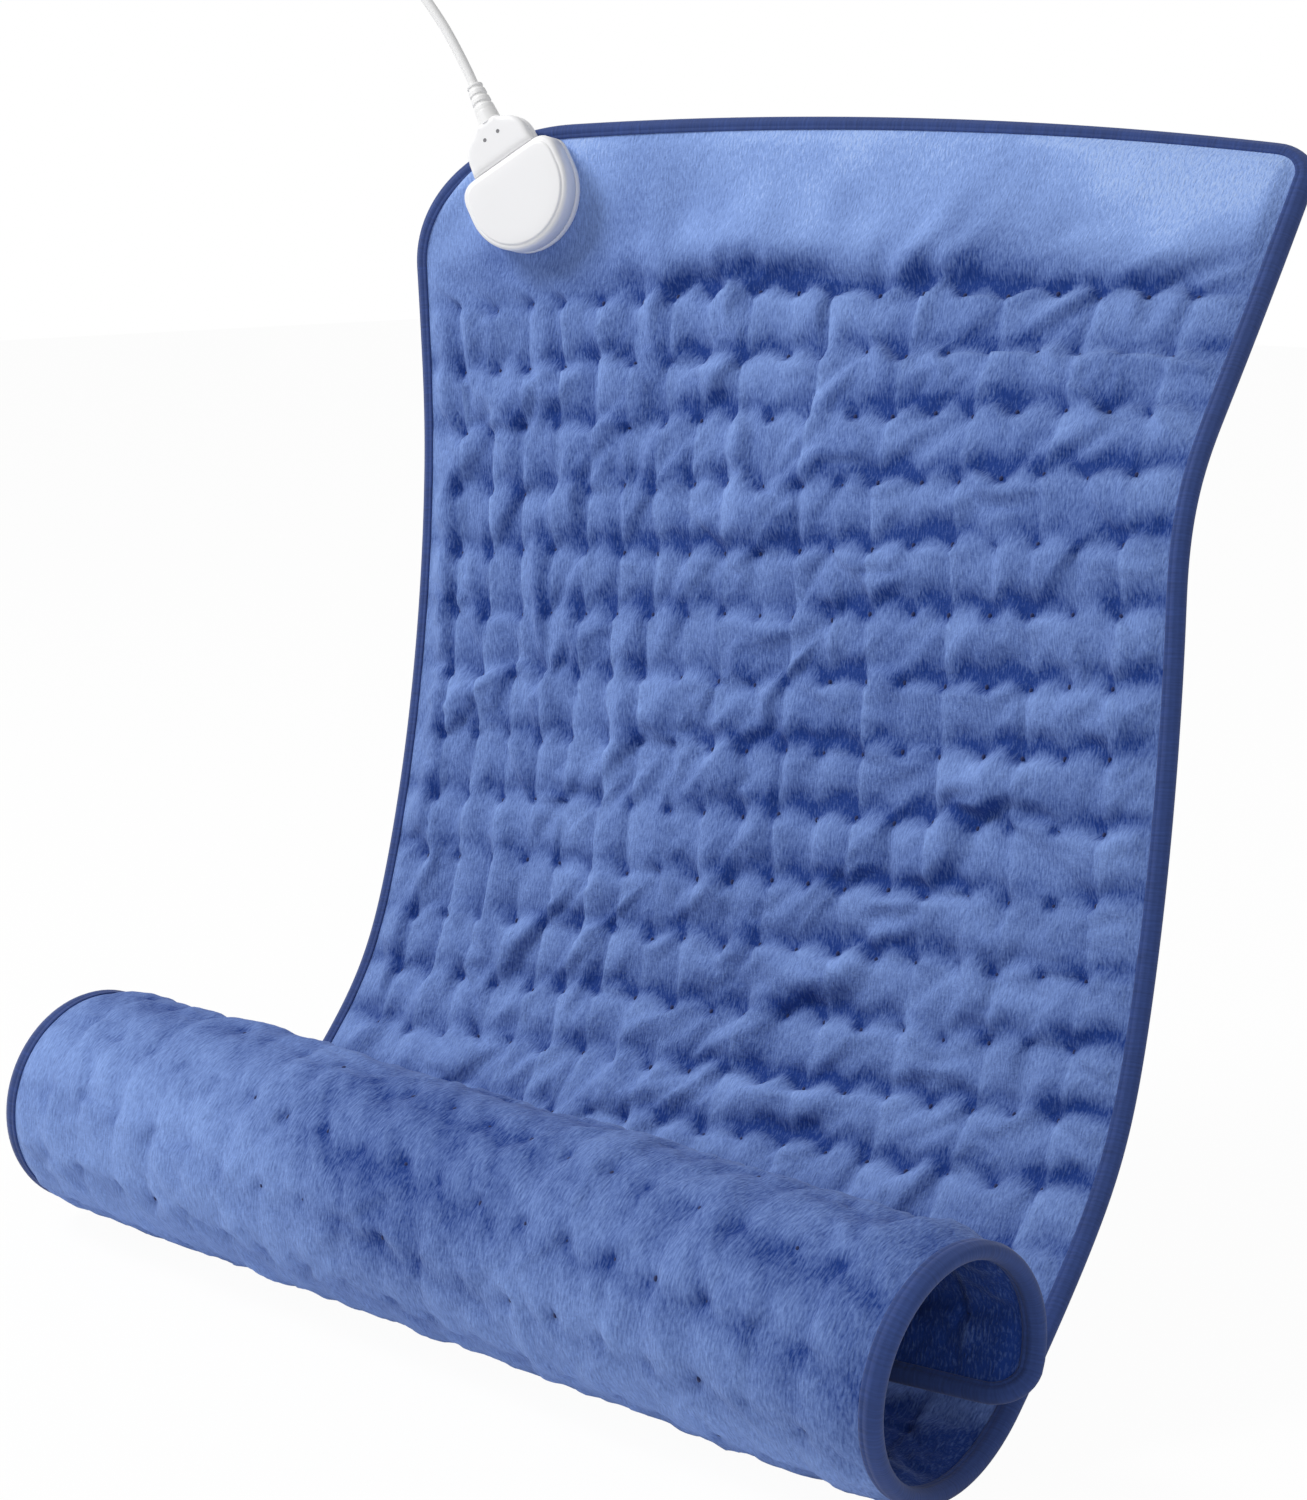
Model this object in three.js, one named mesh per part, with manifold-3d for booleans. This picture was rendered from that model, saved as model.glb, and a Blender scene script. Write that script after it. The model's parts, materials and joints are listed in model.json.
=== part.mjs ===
// Heating pad with a hand controller, in millimetres.
// The origin is the middle of the pad's top edge, X runs right along that edge, Y runs back and Z runs up.
import * as THREE from 'three';
import { mergeVertices } from 'three/addons/utils/BufferGeometryUtils.js';
import Module from 'manifold-3d';

const wasm = await Module();
wasm.setup();

// Clearances
const GAP = 0.3;
const SLIDE_GAP = 0.35;

// Pad outline and quilting
const PAD_WIDTH = 424;
const PAD_LENGTH = 838;
const HALF_PAD = PAD_WIDTH / 2;
const DOCK_CORNER_ACROSS = 86;
const DOCK_CORNER_ALONG = 60;
const PLAIN_CORNER = 16;
const TUFT_PITCH_ACROSS = 20.5;
const TUFT_PITCH_ALONG = 29;
const SIDE_MARGIN = 27;
const END_MARGIN = 28;
const FIRST_TUFT_ROW = 83;
const TUFT_COLUMNS = Math.floor((PAD_WIDTH - 2 * SIDE_MARGIN) / TUFT_PITCH_ACROSS) + 1;
const TUFT_ROWS = Math.floor((PAD_LENGTH - FIRST_TUFT_ROW - END_MARGIN) / TUFT_PITCH_ALONG) + 1;
const TUFT_SPAN = (TUFT_COLUMNS - 1) * TUFT_PITCH_ACROSS;
const PLAIN_LAST_CELLS = 5;

// Half thicknesses of the layers, measured from the middle surface
const WIRE_THICK = 0.9;
const FELT_THICK = 1.1;
const FELT_BACK = -1.3;
const FELT_FRONT = FELT_BACK + FELT_THICK;
const WIRE_BACK = FELT_FRONT + GAP;
const WIRE_FRONT = WIRE_BACK + WIRE_THICK;
const LINING = 1.7;
const EDGE_SKIN = 0.7;
const EDGE = LINING + EDGE_SKIN;
const TUFT_SKIN = 1.9;
const TUFT = LINING + TUFT_SKIN;
const PILLOW = 2.6;
const CROWN = TUFT + PILLOW;
const BAND = 4.4;
const BINDING_THICK = 1.3;
const BINDING_LIP = 7;
const BINDING_INSIDE = EDGE + 1.2;
const BINDING_OUTSIDE = BINDING_INSIDE + BINDING_THICK;

// Standing and rolled shape of the middle surface: lean from the vertical, in degrees, along the pad
const TURN = 5.4;
const TURN_CENTRE = 300;
const TOP_LEAN = 25;
const TOP_TWIST = 20.5;
const TOP_FADE_START = 117;
const TOP_FADE_END = 209;
const LEAN_KNOTS = [[200, 9], [330, 18], [390, 25], [450, 45], [530, 53]];
const ROLL_START = 530;
const ROLL_FULL = 838;
const ROLL_STOP = 826;
const ROLL_RADIUS_FIRST = 79;
const ROLL_RADIUS_LAST = 30.6;
const ROLL_SHIFT = 60;
const ROLL_SHIFT_START = 470;
const ROLL_SHIFT_LENGTH = 110;
const ANCHOR = 620;

// Connector dock and plug
const DOCK_FROM_SIDE = 67;
const DOCK_ACROSS = DOCK_FROM_SIDE - HALF_PAD;
const DOCK_ALONG = 30;
const DOCK_TURN = 28;
const DOCK_HALF = 27.5;
const DOCK_MOUTH = 16;
const DOCK_MOUTH_HALF = 18;
const DOCK_CORNER = 10;
const DOCK_STAND_OFF = 1.4;
const DOCK_BASE_THICK = 2.6;
const DOCK_HEIGHT = 9.4;
const DOCK_WALL = 2.2;
const DOCK_STEP_INSET = 3.4;
const DOCK_STEP_HEIGHT = 0.9;
const TONGUE_HALF = 13;
const TONGUE_THICK = 4.8;
const TONGUE_REACH = 11;
const PLUG_THICK = 10;
const PLUG_LENGTH = 9;
const PLUG_NECK_LENGTH = 11.5;
const PLUG_HALF = 17.8;
const PLUG_SHOULDER_HALF = 10.5;
const PLUG_NECK_HALF = 6;
const DIMPLE_ALONG = 3.5;
const PIN_RADIUS = 0.8;
const PIN_LENGTH = 10;
const PIN_PITCH = 8;

// Cord
const CORD_DIAMETER = 4.6;
const CORD_RADIUS = CORD_DIAMETER / 2;
const RELIEF_LENGTH = 20;
const RELIEF_ROOT = 5.2;
const RELIEF_TIP = 4.0;
const CORD_GRIP = 9;

// Hand controller
const CASE_LENGTH = 150;
const CASE_WIDTH = 56;
const CASE_HEIGHT = 25;
const CASE_CORNER = 20;
const CASE_WALL = 2.2;
const CASE_SPLIT = 12;
const CASE_ROUNDING = 4;
const CASE_X = -380;
const CASE_Y = -386;
const BOARD_THICK = 1.6;
const BOARD_HEIGHT = 8;
const BOARD_HALF_WIDTH = 20;
const BOARD_HALF_LENGTH = 49;
const BUTTON_TRAVEL = 1.2;
const BUTTON_PROUD = 1.8;
const BUTTON_FLANGE = 1.6;
const FLANGE_THICK = 1.2;
const SWITCH_SIZE = 6;
const SWITCH_HEIGHT = 3.5;
const WINDOW_HALF_WIDTH = 17;
const WINDOW_HALF_LENGTH = 15;
const WINDOW_Y = 34.5;
const WINDOW_FLANGE = 2;
const SCREW_X = 18;
const SCREW_Y = 58;
const SCREW_SHANK = 1.3;
const SCREW_HEAD = 2.7;
const SCREW_HEAD_HEIGHT = 1.6;
const POST_RADIUS = 4.4;
const BUTTONS = [
  { name: 'power_button', radius: 7.5, x: 0, y: 6 },
  { name: 'heat_down_button', radius: 6.5, x: -11, y: -17 },
  { name: 'heat_up_button', radius: 6.5, x: 11, y: -17 },
  { name: 'timer_button', radius: 6.5, x: 0, y: -39 },
];

// Coiled mains cord and plug
const COIL_X = -300;
const COIL_Y = -400;
const COIL_PITCH = CORD_DIAMETER + 0.7;
const COIL_TURNS = 4;
const COIL_INNER = 14;
const COIL_OUTER = COIL_INNER + COIL_TURNS * COIL_PITCH;
const COIL_DIP = 1.4;
const TIE_THICK = 0.9;
const TIE_WIDTH = 5;
const MAINS_BODY_LENGTH = 36;
const MAINS_BODY_WIDTH = 25;
const MAINS_BODY_THICK = 18;
const BLADE_LENGTH = 16;
const BLADE_WIDTH = 6.3;
const BLADE_THICK = 1.5;
const BLADE_PITCH = 12.7;

const smooth = (t) => {
  const k = Math.min(Math.max(t, 0), 1);
  return k * k * (3 - 2 * k);
};
const radians = (d) => (d * Math.PI) / 180;

// Smooth curve through the lean knots
function kneeLean(arc) {
  const k = LEAN_KNOTS;
  const last = k.length - 1;
  const at = Math.min(Math.max(arc, k[0][0]), k[last][0]);
  let i = 0;
  while (i < last - 1 && at > k[i + 1][0]) i += 1;
  const slope = (j) => {
    const a = Math.max(j - 1, 0);
    const b = Math.min(j + 1, last);
    return (k[b][1] - k[a][1]) / (k[b][0] - k[a][0]);
  };
  const h = k[i + 1][0] - k[i][0];
  const t = (at - k[i][0]) / h;
  const start = (1 + 2 * t) * (1 - t) * (1 - t) * k[i][1] + t * (1 - t) * (1 - t) * h * slope(i);
  const end = t * t * (3 - 2 * t) * k[i + 1][1] + t * t * (t - 1) * h * slope(i + 1);
  return start + end;
}

// Lean of the middle surface in radians; past the roll's start a spiral of falling radius is added
function leanAt(arc, across) {
  const v = across / HALF_PAD;
  const top = TOP_LEAN + TOP_TWIST * v;
  const fade = 1 - smooth((arc - TOP_FADE_START) / (TOP_FADE_END - TOP_FADE_START));
  const span = ROLL_FULL - ROLL_START;
  const w = Math.max(0, (Math.min(arc, ROLL_STOP) - ROLL_START) / span);
  const first = 1 / ROLL_RADIUS_FIRST;
  const rise = 1 / ROLL_RADIUS_LAST - first;
  const roll = span * (first * w + (rise * w * w) / 2);
  return radians(top * fade + kneeLean(arc) * (1 - fade)) + roll;
}

// Table of the middle surface, summed outward from the anchor line under the roll
const ARC_STEP = 2;
const ARC_FIRST = -60;
const ARC_COUNT = 490;
const LINE_STEP = 10;
const LINE_FIRST = -290;
const LINE_COUNT = 59;
const table = [];
for (let m = 0; m < LINE_COUNT; m += 1) {
  const across = LINE_FIRST + m * LINE_STEP;
  const rows = [];
  let y = 0;
  let z = 0;
  let before = leanAt(ARC_FIRST, across);
  for (let k = 0; k < ARC_COUNT; k += 1) {
    const lean = leanAt(ARC_FIRST + k * ARC_STEP, across);
    if (k > 0) {
      y -= ((Math.sin(lean) + Math.sin(before)) / 2) * ARC_STEP;
      z -= ((Math.cos(lean) + Math.cos(before)) / 2) * ARC_STEP;
    }
    rows.push([y, z, lean]);
    before = lean;
  }
  const base = rows[Math.round((ANCHOR - ARC_FIRST) / ARC_STEP)].slice();
  table.push(rows.map((r) => [r[0] - base[0], r[1] - base[1], r[2]]));
}

function surfaceRaw(u, s) {
  const turn = radians(TURN);
  const across = u * Math.cos(turn) + (s - TURN_CENTRE) * Math.sin(turn);
  const arc = TURN_CENTRE + (s - TURN_CENTRE) * Math.cos(turn) - u * Math.sin(turn);
  const a = Math.min(Math.max((arc - ARC_FIRST) / ARC_STEP, 0), ARC_COUNT - 1.001);
  const b = Math.min(Math.max((across - LINE_FIRST) / LINE_STEP, 0), LINE_COUNT - 1.001);
  const k = Math.floor(a);
  const m = Math.floor(b);
  const w = a - k;
  const t = b - m;
  const mix = (n) => (table[m][k][n] * (1 - w) + table[m][k + 1][n] * w) * (1 - t)
    + (table[m + 1][k][n] * (1 - w) + table[m + 1][k + 1][n] * w) * t;
  const shift = ROLL_SHIFT * smooth((s - ROLL_SHIFT_START) / ROLL_SHIFT_LENGTH) * (1 - u / HALF_PAD) / 2;
  return [across - shift, mix(0), mix(1), mix(2)];
}
const ORIGIN = surfaceRaw(0, 0);

// Point at a distance across the pad, a distance along it and a height above its middle surface
function padPoint(u, s, h) {
  const [x, y, z, lean] = surfaceRaw(u, s);
  return new THREE.Vector3(
    x - ORIGIN[0],
    y - ORIGIN[1] - h * Math.cos(lean),
    z - ORIGIN[2] + h * Math.sin(lean),
  );
}
function padNormal(u, s) {
  const lean = surfaceRaw(u, s)[3];
  return new THREE.Vector3(0, -Math.cos(lean), Math.sin(lean));
}

// Side limits of the pad at a distance along it, with its rounded corners
function cornerCut(s, acrossRadius, alongRadius) {
  if (s >= alongRadius) return 0;
  const rise = (alongRadius - s) / alongRadius;
  return acrossRadius * (1 - Math.sqrt(1 - rise * rise));
}
function leftLimit(s) {
  const bottom = cornerCut(PAD_LENGTH - s, PLAIN_CORNER, PLAIN_CORNER);
  return -HALF_PAD + cornerCut(s, DOCK_CORNER_ACROSS, DOCK_CORNER_ALONG) + bottom;
}
function rightLimit(s) {
  const bottom = cornerCut(PAD_LENGTH - s, PLAIN_CORNER, PLAIN_CORNER);
  return HALF_PAD - cornerCut(s, PLAIN_CORNER, PLAIN_CORNER) - bottom;
}

// Closed body gathered from points and triangles
class Body {
  constructor() {
    this.points = [];
    this.faces = [];
  }

  point(p) {
    this.points.push(p);
    return this.points.length - 1;
  }

  face(a, b, c) {
    this.faces.push([a, b, c]);
  }

  quad(a, b, c, d) {
    this.face(a, b, c);
    this.face(a, c, d);
  }

  // Strip between an upper and a lower line of points, each with its positions from 0 to 1
  strip(upper, upperAt, lower, lowerAt, flip) {
    let i = 0;
    let j = 0;
    const add = (a, b, c) => (flip ? this.face(a, c, b) : this.face(a, b, c));
    while (i < upper.length - 1 || j < lower.length - 1) {
      const nextUpper = i < upper.length - 1 ? upperAt[i + 1] : 9;
      const nextLower = j < lower.length - 1 ? lowerAt[j + 1] : 9;
      if (nextLower <= nextUpper) {
        add(upper[i], lower[j], lower[j + 1]);
        j += 1;
      } else {
        add(upper[i], lower[j], upper[i + 1]);
        i += 1;
      }
    }
  }

  geometry() {
    let volume = 0;
    for (const [a, b, c] of this.faces) {
      volume += this.points[a].dot(this.points[b].clone().cross(this.points[c]));
    }
    const order = volume < 0 ? [0, 2, 1] : [0, 1, 2];
    const geometry = new THREE.BufferGeometry();
    const flat = [];
    for (const p of this.points) flat.push(p.x, p.y, p.z);
    geometry.setAttribute('position', new THREE.Float32BufferAttribute(flat, 3));
    geometry.setIndex(this.faces.flatMap((f) => order.map((k) => f[k])));
    return geometry;
  }
}

// Rows of the pad's grid
const tuftRows = [];
for (let j = 0; j < TUFT_ROWS; j += 1) tuftRows.push(FIRST_TUFT_ROW + j * TUFT_PITCH_ALONG);
const lastTuftRow = tuftRows[TUFT_ROWS - 1];
const bandRows = [0, 4, 12, 26, 52];
const endRows = [PAD_LENGTH - 11, PAD_LENGTH];
const rowAlong = [...bandRows, ...tuftRows, ...endRows];
const firstTuft = bandRows.length;
const lastTuft = firstTuft + TUFT_ROWS - 1;
const fineColumns = [0];
for (let i = 0; i < TUFT_COLUMNS; i += 1) {
  fineColumns.push((HALF_PAD - TUFT_SPAN / 2 + i * TUFT_PITCH_ACROSS) / PAD_WIDTH);
}
fineColumns.push(1);
const bandColumns = fineColumns.filter((f, i) => i % 2 === 0);
const liningColumns = [0, fineColumns[1], 0.2, 0.4, 0.6, 0.8, fineColumns[TUFT_COLUMNS], 1];
const isTuftRow = (r) => r >= firstTuft && r <= lastTuft;
const outerColumns = (r) => (isTuftRow(r) ? fineColumns : bandColumns);
const curledCell = (r) => isTuftRow(r) && isTuftRow(r + 1) && rowAlong[r] > ROLL_START - 20;
const acrossAt = (s, f) => leftLimit(s) + (rightLimit(s) - leftLimit(s)) * f;
function bandHeight(s) {
  const rise = smooth(s / 44);
  return EDGE + (BAND - EDGE) * rise;
}

// One cover with its crown, drawn-in sides and sewn tufts; side is 1 for the front and -1 for the back
function tuftedCover(side) {
  const body = new Body();
  const flip = side < 0;
  const outer = [];
  const lining = [];
  const heightAt = (r, c, count) => {
    if (c === 0 || c === count - 1 || r === 0 || r === rowAlong.length - 1) return EDGE;
    if (r < firstTuft) return bandHeight(rowAlong[r]);
    return r > lastTuft ? EDGE + 0.4 : TUFT;
  };
  rowAlong.forEach((s, r) => {
    const columns = outerColumns(r);
    outer.push(columns.map((f, c) => body.point(
      padPoint(acrossAt(s, f), s, side * heightAt(r, c, columns.length)),
    )));
    lining.push(liningColumns.map((f) => body.point(padPoint(acrossAt(s, f), s, side * LINING))));
  });
  const leftOuter = [];
  const leftLining = [];
  const rightOuter = [];
  const rightLining = [];
  for (let r = 0; r < rowAlong.length; r += 1) {
    const end = outer[r].length - 1;
    leftOuter.push(outer[r][0]);
    leftLining.push(lining[r][0]);
    rightOuter.push(outer[r][end]);
    rightLining.push(lining[r][lining[r].length - 1]);
    if (r === rowAlong.length - 1) break;
    const middle = (rowAlong[r] + rowAlong[r + 1]) / 2;
    if (!(isTuftRow(r) && isTuftRow(r + 1))) {
      body.strip(outer[r], outerColumns(r), outer[r + 1], outerColumns(r + 1), flip);
      body.strip(lining[r], liningColumns, lining[r + 1], liningColumns, !flip);
      continue;
    }
    const curled = curledCell(r);
    const mids = {};
    if (curled) {
      mids.left = body.point(padPoint(leftLimit(middle), middle, side * EDGE));
      mids.right = body.point(padPoint(rightLimit(middle), middle, side * EDGE));
      mids.leftLining = body.point(padPoint(leftLimit(middle), middle, side * LINING));
      mids.rightLining = body.point(padPoint(rightLimit(middle), middle, side * LINING));
      leftOuter.push(mids.left);
      leftLining.push(mids.leftLining);
      rightOuter.push(mids.right);
      rightLining.push(mids.rightLining);
    }
    const add = (list, turned) => {
      for (let k = 1; k < list.length - 1; k += 1) {
        if (turned) body.face(list[0], list[k + 1], list[k]);
        else body.face(list[0], list[k], list[k + 1]);
      }
    };
    for (let c = 0; c < end; c += 1) {
      const corners = [outer[r][c], outer[r + 1][c], outer[r + 1][c + 1], outer[r][c + 1]];
      const margin = c === 0 || c === end - 1;
      if (margin && curled && c === 0) add([mids.left, ...corners.slice(1), corners[0]], flip);
      else if (margin && curled) add([mids.right, corners[3], ...corners.slice(0, 3)], flip);
      else if (margin || r >= lastTuft - PLAIN_LAST_CELLS) add(corners, flip);
      else {
        const across = acrossAt(middle, (fineColumns[c] + fineColumns[c + 1]) / 2);
        const crown = body.point(padPoint(across, middle, side * CROWN));
        for (let k = 0; k < 4; k += 1) add([crown, corners[k], corners[(k + 1) % 4]], flip);
      }
    }
    const stop = lining[r].length - 1;
    for (let c = 0; c < stop; c += 1) {
      const corners = [lining[r][c], lining[r + 1][c], lining[r + 1][c + 1], lining[r][c + 1]];
      if (curled && c === 0) add([mids.leftLining, ...corners.slice(1), corners[0]], !flip);
      else if (curled && c === stop - 1) add([mids.rightLining, corners[3], ...corners.slice(0, 3)], !flip);
      else add(corners, !flip);
    }
  }
  const rim = (a, b, turned) => {
    for (let k = 0; k < a.length - 1; k += 1) {
      if (turned) body.quad(a[k], b[k], b[k + 1], a[k + 1]);
      else body.quad(a[k], a[k + 1], b[k + 1], b[k]);
    }
  };
  rim(leftLining, leftOuter, flip);
  rim(rightOuter, rightLining, flip);
  const bottom = rowAlong.length - 1;
  body.strip(lining[0], liningColumns, outer[0], outerColumns(0), flip);
  body.strip(outer[bottom], outerColumns(bottom), lining[bottom], liningColumns, flip);
  return body.geometry();
}

// Point on a row line of the facets that the linings share, so the layers between them stay parallel
function rowPoint(u, r, h) {
  const s = rowAlong[r];
  const f = (u - leftLimit(s)) / (rightLimit(s) - leftLimit(s));
  let c = 0;
  while (c < liningColumns.length - 2 && f > liningColumns[c + 1]) c += 1;
  const t = (f - liningColumns[c]) / (liningColumns[c + 1] - liningColumns[c]);
  return padPoint(acrossAt(s, liningColumns[c]), s, h)
    .lerp(padPoint(acrossAt(s, liningColumns[c + 1]), s, h), t);
}

// Felt that carries the heating wire
function feltLayer() {
  const body = new Body();
  const first = 3;
  const last = rowAlong.length - 2;
  const columns = liningColumns.slice(1, -1);
  const faces = [FELT_FRONT, FELT_BACK].map((h) => {
    const rows = [];
    for (let r = first; r <= last; r += 1) {
      rows.push(columns.map((f) => body.point(padPoint(acrossAt(rowAlong[r], f), rowAlong[r], h))));
    }
    return rows;
  });
  const [a, b] = faces;
  const rows = a.length;
  const e = columns.length - 1;
  for (let r = 0; r < rows - 1; r += 1) {
    body.strip(a[r], columns, a[r + 1], columns, false);
    body.strip(b[r], columns, b[r + 1], columns, true);
    body.quad(b[r][0], b[r + 1][0], a[r + 1][0], a[r][0]);
    body.quad(a[r][e], a[r + 1][e], b[r + 1][e], b[r][e]);
  }
  body.strip(b[0], columns, a[0], columns, false);
  body.strip(a[rows - 1], columns, b[rows - 1], columns, false);
  return body.geometry();
}

// Heating wire: one unbroken run, up and down the pad, both ends near the dock
const WIRE_LINES = liningColumns.slice(2, -2);
const WIRE_END_GAP = 14;
function heatingWire() {
  const path = [];
  const firstRow = firstTuft + 1;
  const lastRow = lastTuft - 2;
  const onLine = (k, r) => [acrossAt(rowAlong[r], WIRE_LINES[k]), r];
  path.push(onLine(0, firstTuft));
  for (let k = 0; k < WIRE_LINES.length; k += 1) {
    for (let n = firstRow; n <= lastRow; n += 1) {
      path.push(onLine(k, k % 2 === 0 ? n : firstRow + lastRow - n));
    }
  }
  for (let k = WIRE_LINES.length - 1; k > 0; k -= 1) path.push(onLine(k, firstTuft));
  path.push([acrossAt(rowAlong[firstTuft], WIRE_LINES[0]) + WIRE_END_GAP, firstTuft]);
  const body = new Body();
  const half = WIRE_THICK / 2;
  const rings = path.map((p, i) => {
    const before = path[Math.max(i - 1, 0)];
    const after = path[Math.min(i + 1, path.length - 1)];
    const acrossIn = before[1] === p[1] && i > 0;
    const acrossOut = after[1] === p[1] && i < path.length - 1;
    const inward = Math.sign((acrossIn ? p[0] - before[0] : p[1] - before[1]) || 1);
    const outward = Math.sign((acrossOut ? after[0] - p[0] : after[1] - p[1]) || 1);
    const du = half * (acrossIn && acrossOut ? 0 : acrossIn ? -outward : -inward);
    const ds = half * (acrossIn ? inward : acrossOut ? outward : 0);
    const mid = (sign, h) => {
      const base = rowPoint(p[0] + sign * du, p[1], h);
      const s = rowAlong[p[1]];
      const step = padPoint(p[0], s + 1, h).sub(padPoint(p[0], s - 1, h)).multiplyScalar(0.5);
      return base.addScaledVector(step, sign * ds);
    };
    return [
      body.point(mid(1, WIRE_FRONT)), body.point(mid(-1, WIRE_FRONT)),
      body.point(mid(-1, WIRE_BACK)), body.point(mid(1, WIRE_BACK)),
    ];
  });
  for (let i = 0; i < rings.length - 1; i += 1) {
    for (let k = 0; k < 4; k += 1) {
      const n = (k + 1) % 4;
      body.quad(rings[i][k], rings[i][n], rings[i + 1][n], rings[i + 1][k]);
    }
  }
  const a = rings[0];
  const b = rings[rings.length - 1];
  body.quad(a[3], a[2], a[1], a[0]);
  body.quad(b[0], b[1], b[2], b[3]);
  return body.geometry();
}

// Binding folded over the pad's edge, all the way round
function edgeBinding() {
  const sections = [];
  const lipStart = BINDING_LIP;
  const sideSection = (s, left, rows) => {
    const limit = left ? leftLimit : rightLimit;
    const column = left ? 1 : fineColumns.length - 2;
    const edge = padPoint(limit(s), s, 0);
    const inside = new THREE.Vector3();
    for (const row of rows) {
      inside.addScaledVector(padPoint(acrossAt(row, fineColumns[column]), row, 0), 1 / rows.length);
    }
    const inward = inside.sub(edge).normalize();
    sections.push({ edge, inward, normal: padNormal(limit(s), s), lip: null });
  };
  const freeSection = (u, s, du, ds) => {
    const edge = padPoint(u, s, 0);
    const lip = padPoint(u + du * lipStart, s + ds * lipStart, 0);
    const inward = lip.clone().sub(edge).normalize();
    sections.push({ edge, inward, normal: padNormal(u, s), lip });
  };
  const slanted = (list, k) => {
    const a = list[Math.max(k - 1, 0)];
    const b = list[Math.min(k + 1, list.length - 1)];
    const d = Math.hypot(b[0] - a[0], b[1] - a[1]);
    return [(b[1] - a[1]) / d, -(b[0] - a[0]) / d];
  };
  const leftTop = [[leftLimit(0) + 20, 0], ...bandRows.map((s) => [leftLimit(s), s])];
  leftTop.push([leftLimit(FIRST_TUFT_ROW), FIRST_TUFT_ROW]);
  for (let k = 1; k <= bandRows.length; k += 1) {
    const [du, ds] = slanted(leftTop, k);
    freeSection(leftTop[k][0], leftTop[k][1], du, ds);
  }
  const sideRows = (left) => {
    const list = [];
    for (let r = firstTuft; r <= lastTuft; r += 1) {
      list.push([rowAlong[r], [rowAlong[r]]]);
      if (r < lastTuft && curledCell(r)) {
        const pair = [rowAlong[r], rowAlong[r + 1]];
        list.push([(pair[0] + pair[1]) / 2, pair]);
      }
    }
    if (!left) list.reverse();
    for (const [s, rows] of list) sideSection(s, left, rows);
  };
  sideRows(true);
  const low = endRows[0];
  const corner = Math.SQRT1_2;
  freeSection(leftLimit(low), low, corner, -corner);
  freeSection(leftLimit(PAD_LENGTH), PAD_LENGTH, 0.38, -0.92);
  for (let k = 1; k < 8; k += 1) freeSection(acrossAt(PAD_LENGTH, k / 8), PAD_LENGTH, 0, -1);
  freeSection(rightLimit(PAD_LENGTH), PAD_LENGTH, -0.38, -0.92);
  freeSection(rightLimit(low), low, -corner, -corner);
  sideRows(false);
  const rightTop = [[rightLimit(FIRST_TUFT_ROW), FIRST_TUFT_ROW]];
  for (const s of [...bandRows].reverse()) rightTop.push([rightLimit(s), s]);
  rightTop.push([rightLimit(0) - 20, 0]);
  for (let k = 1; k <= bandRows.length; k += 1) {
    const [du, ds] = slanted(rightTop, k);
    freeSection(rightTop[k][0], rightTop[k][1], du, ds);
  }
  for (let c = bandColumns.length - 2; c > 0; c -= 1) freeSection(acrossAt(0, bandColumns[c]), 0, 0, 1);
  const body = new Body();
  const profile = [
    [-BINDING_LIP, BINDING_INSIDE], [0.6, BINDING_INSIDE], [0.6, -BINDING_INSIDE],
    [-BINDING_LIP, -BINDING_INSIDE], [-BINDING_LIP, -BINDING_OUTSIDE], [0.6 + BINDING_THICK, -BINDING_OUTSIDE],
    [0.6 + BINDING_THICK, BINDING_OUTSIDE], [-BINDING_LIP, BINDING_OUTSIDE],
  ];
  const rings = sections.map((q) => profile.map(([out, h]) => body.point(
    q.edge.clone().addScaledVector(q.inward, -out).addScaledVector(q.normal, h),
  )));
  const count = rings.length;
  for (let i = 0; i < count; i += 1) {
    const next = rings[(i + 1) % count];
    for (let k = 0; k < profile.length; k += 1) {
      const n = (k + 1) % profile.length;
      body.quad(rings[i][k], rings[i][n], next[n], next[k]);
    }
  }
  return body.geometry();
}

// Manifold helpers
function solidOf(geometry) {
  const g = geometry.clone();
  g.deleteAttribute('normal');
  g.deleteAttribute('uv');
  const merged = mergeVertices(g, 1e-5);
  const mesh = new wasm.Mesh({
    numProp: 3,
    vertProperties: new Float32Array(merged.attributes.position.array),
    triVerts: new Uint32Array(merged.index.array),
  });
  return new wasm.Manifold(mesh);
}
function geometryOf(solid) {
  const mesh = solid.getMesh();
  const g = new THREE.BufferGeometry();
  const flat = [];
  for (let k = 0; k < mesh.numVert; k += 1) {
    for (let n = 0; n < 3; n += 1) flat.push(mesh.vertProperties[k * mesh.numProp + n]);
  }
  g.setAttribute('position', new THREE.Float32BufferAttribute(flat, 3));
  g.setIndex(Array.from(mesh.triVerts));
  return g;
}
function box(x0, x1, y0, y1, z0, z1) {
  const g = new THREE.BoxGeometry(x1 - x0, y1 - y0, z1 - z0);
  return g.translate((x0 + x1) / 2, (y0 + y1) / 2, (z0 + z1) / 2);
}
function post(x, y, radius, z0, z1, sides = 14) {
  const g = new THREE.CylinderGeometry(radius, radius, z1 - z0, sides);
  return g.rotateX(Math.PI / 2).translate(x, y, (z0 + z1) / 2);
}
function rod(x, z, radius, y0, y1, sides = 12) {
  const g = new THREE.CylinderGeometry(radius, radius, y1 - y0, sides);
  return g.translate(x, (y0 + y1) / 2, z);
}
function slab(shape, z0, z1, rounding = 0, segments = 5) {
  const g = new THREE.ExtrudeGeometry(shape, {
    depth: z1 - z0 - 2 * rounding,
    bevelEnabled: rounding > 0,
    bevelThickness: rounding,
    bevelSize: rounding,
    bevelOffset: -rounding,
    bevelSegments: 2,
    curveSegments: segments,
  });
  return g.translate(0, 0, z0 + rounding);
}
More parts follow.
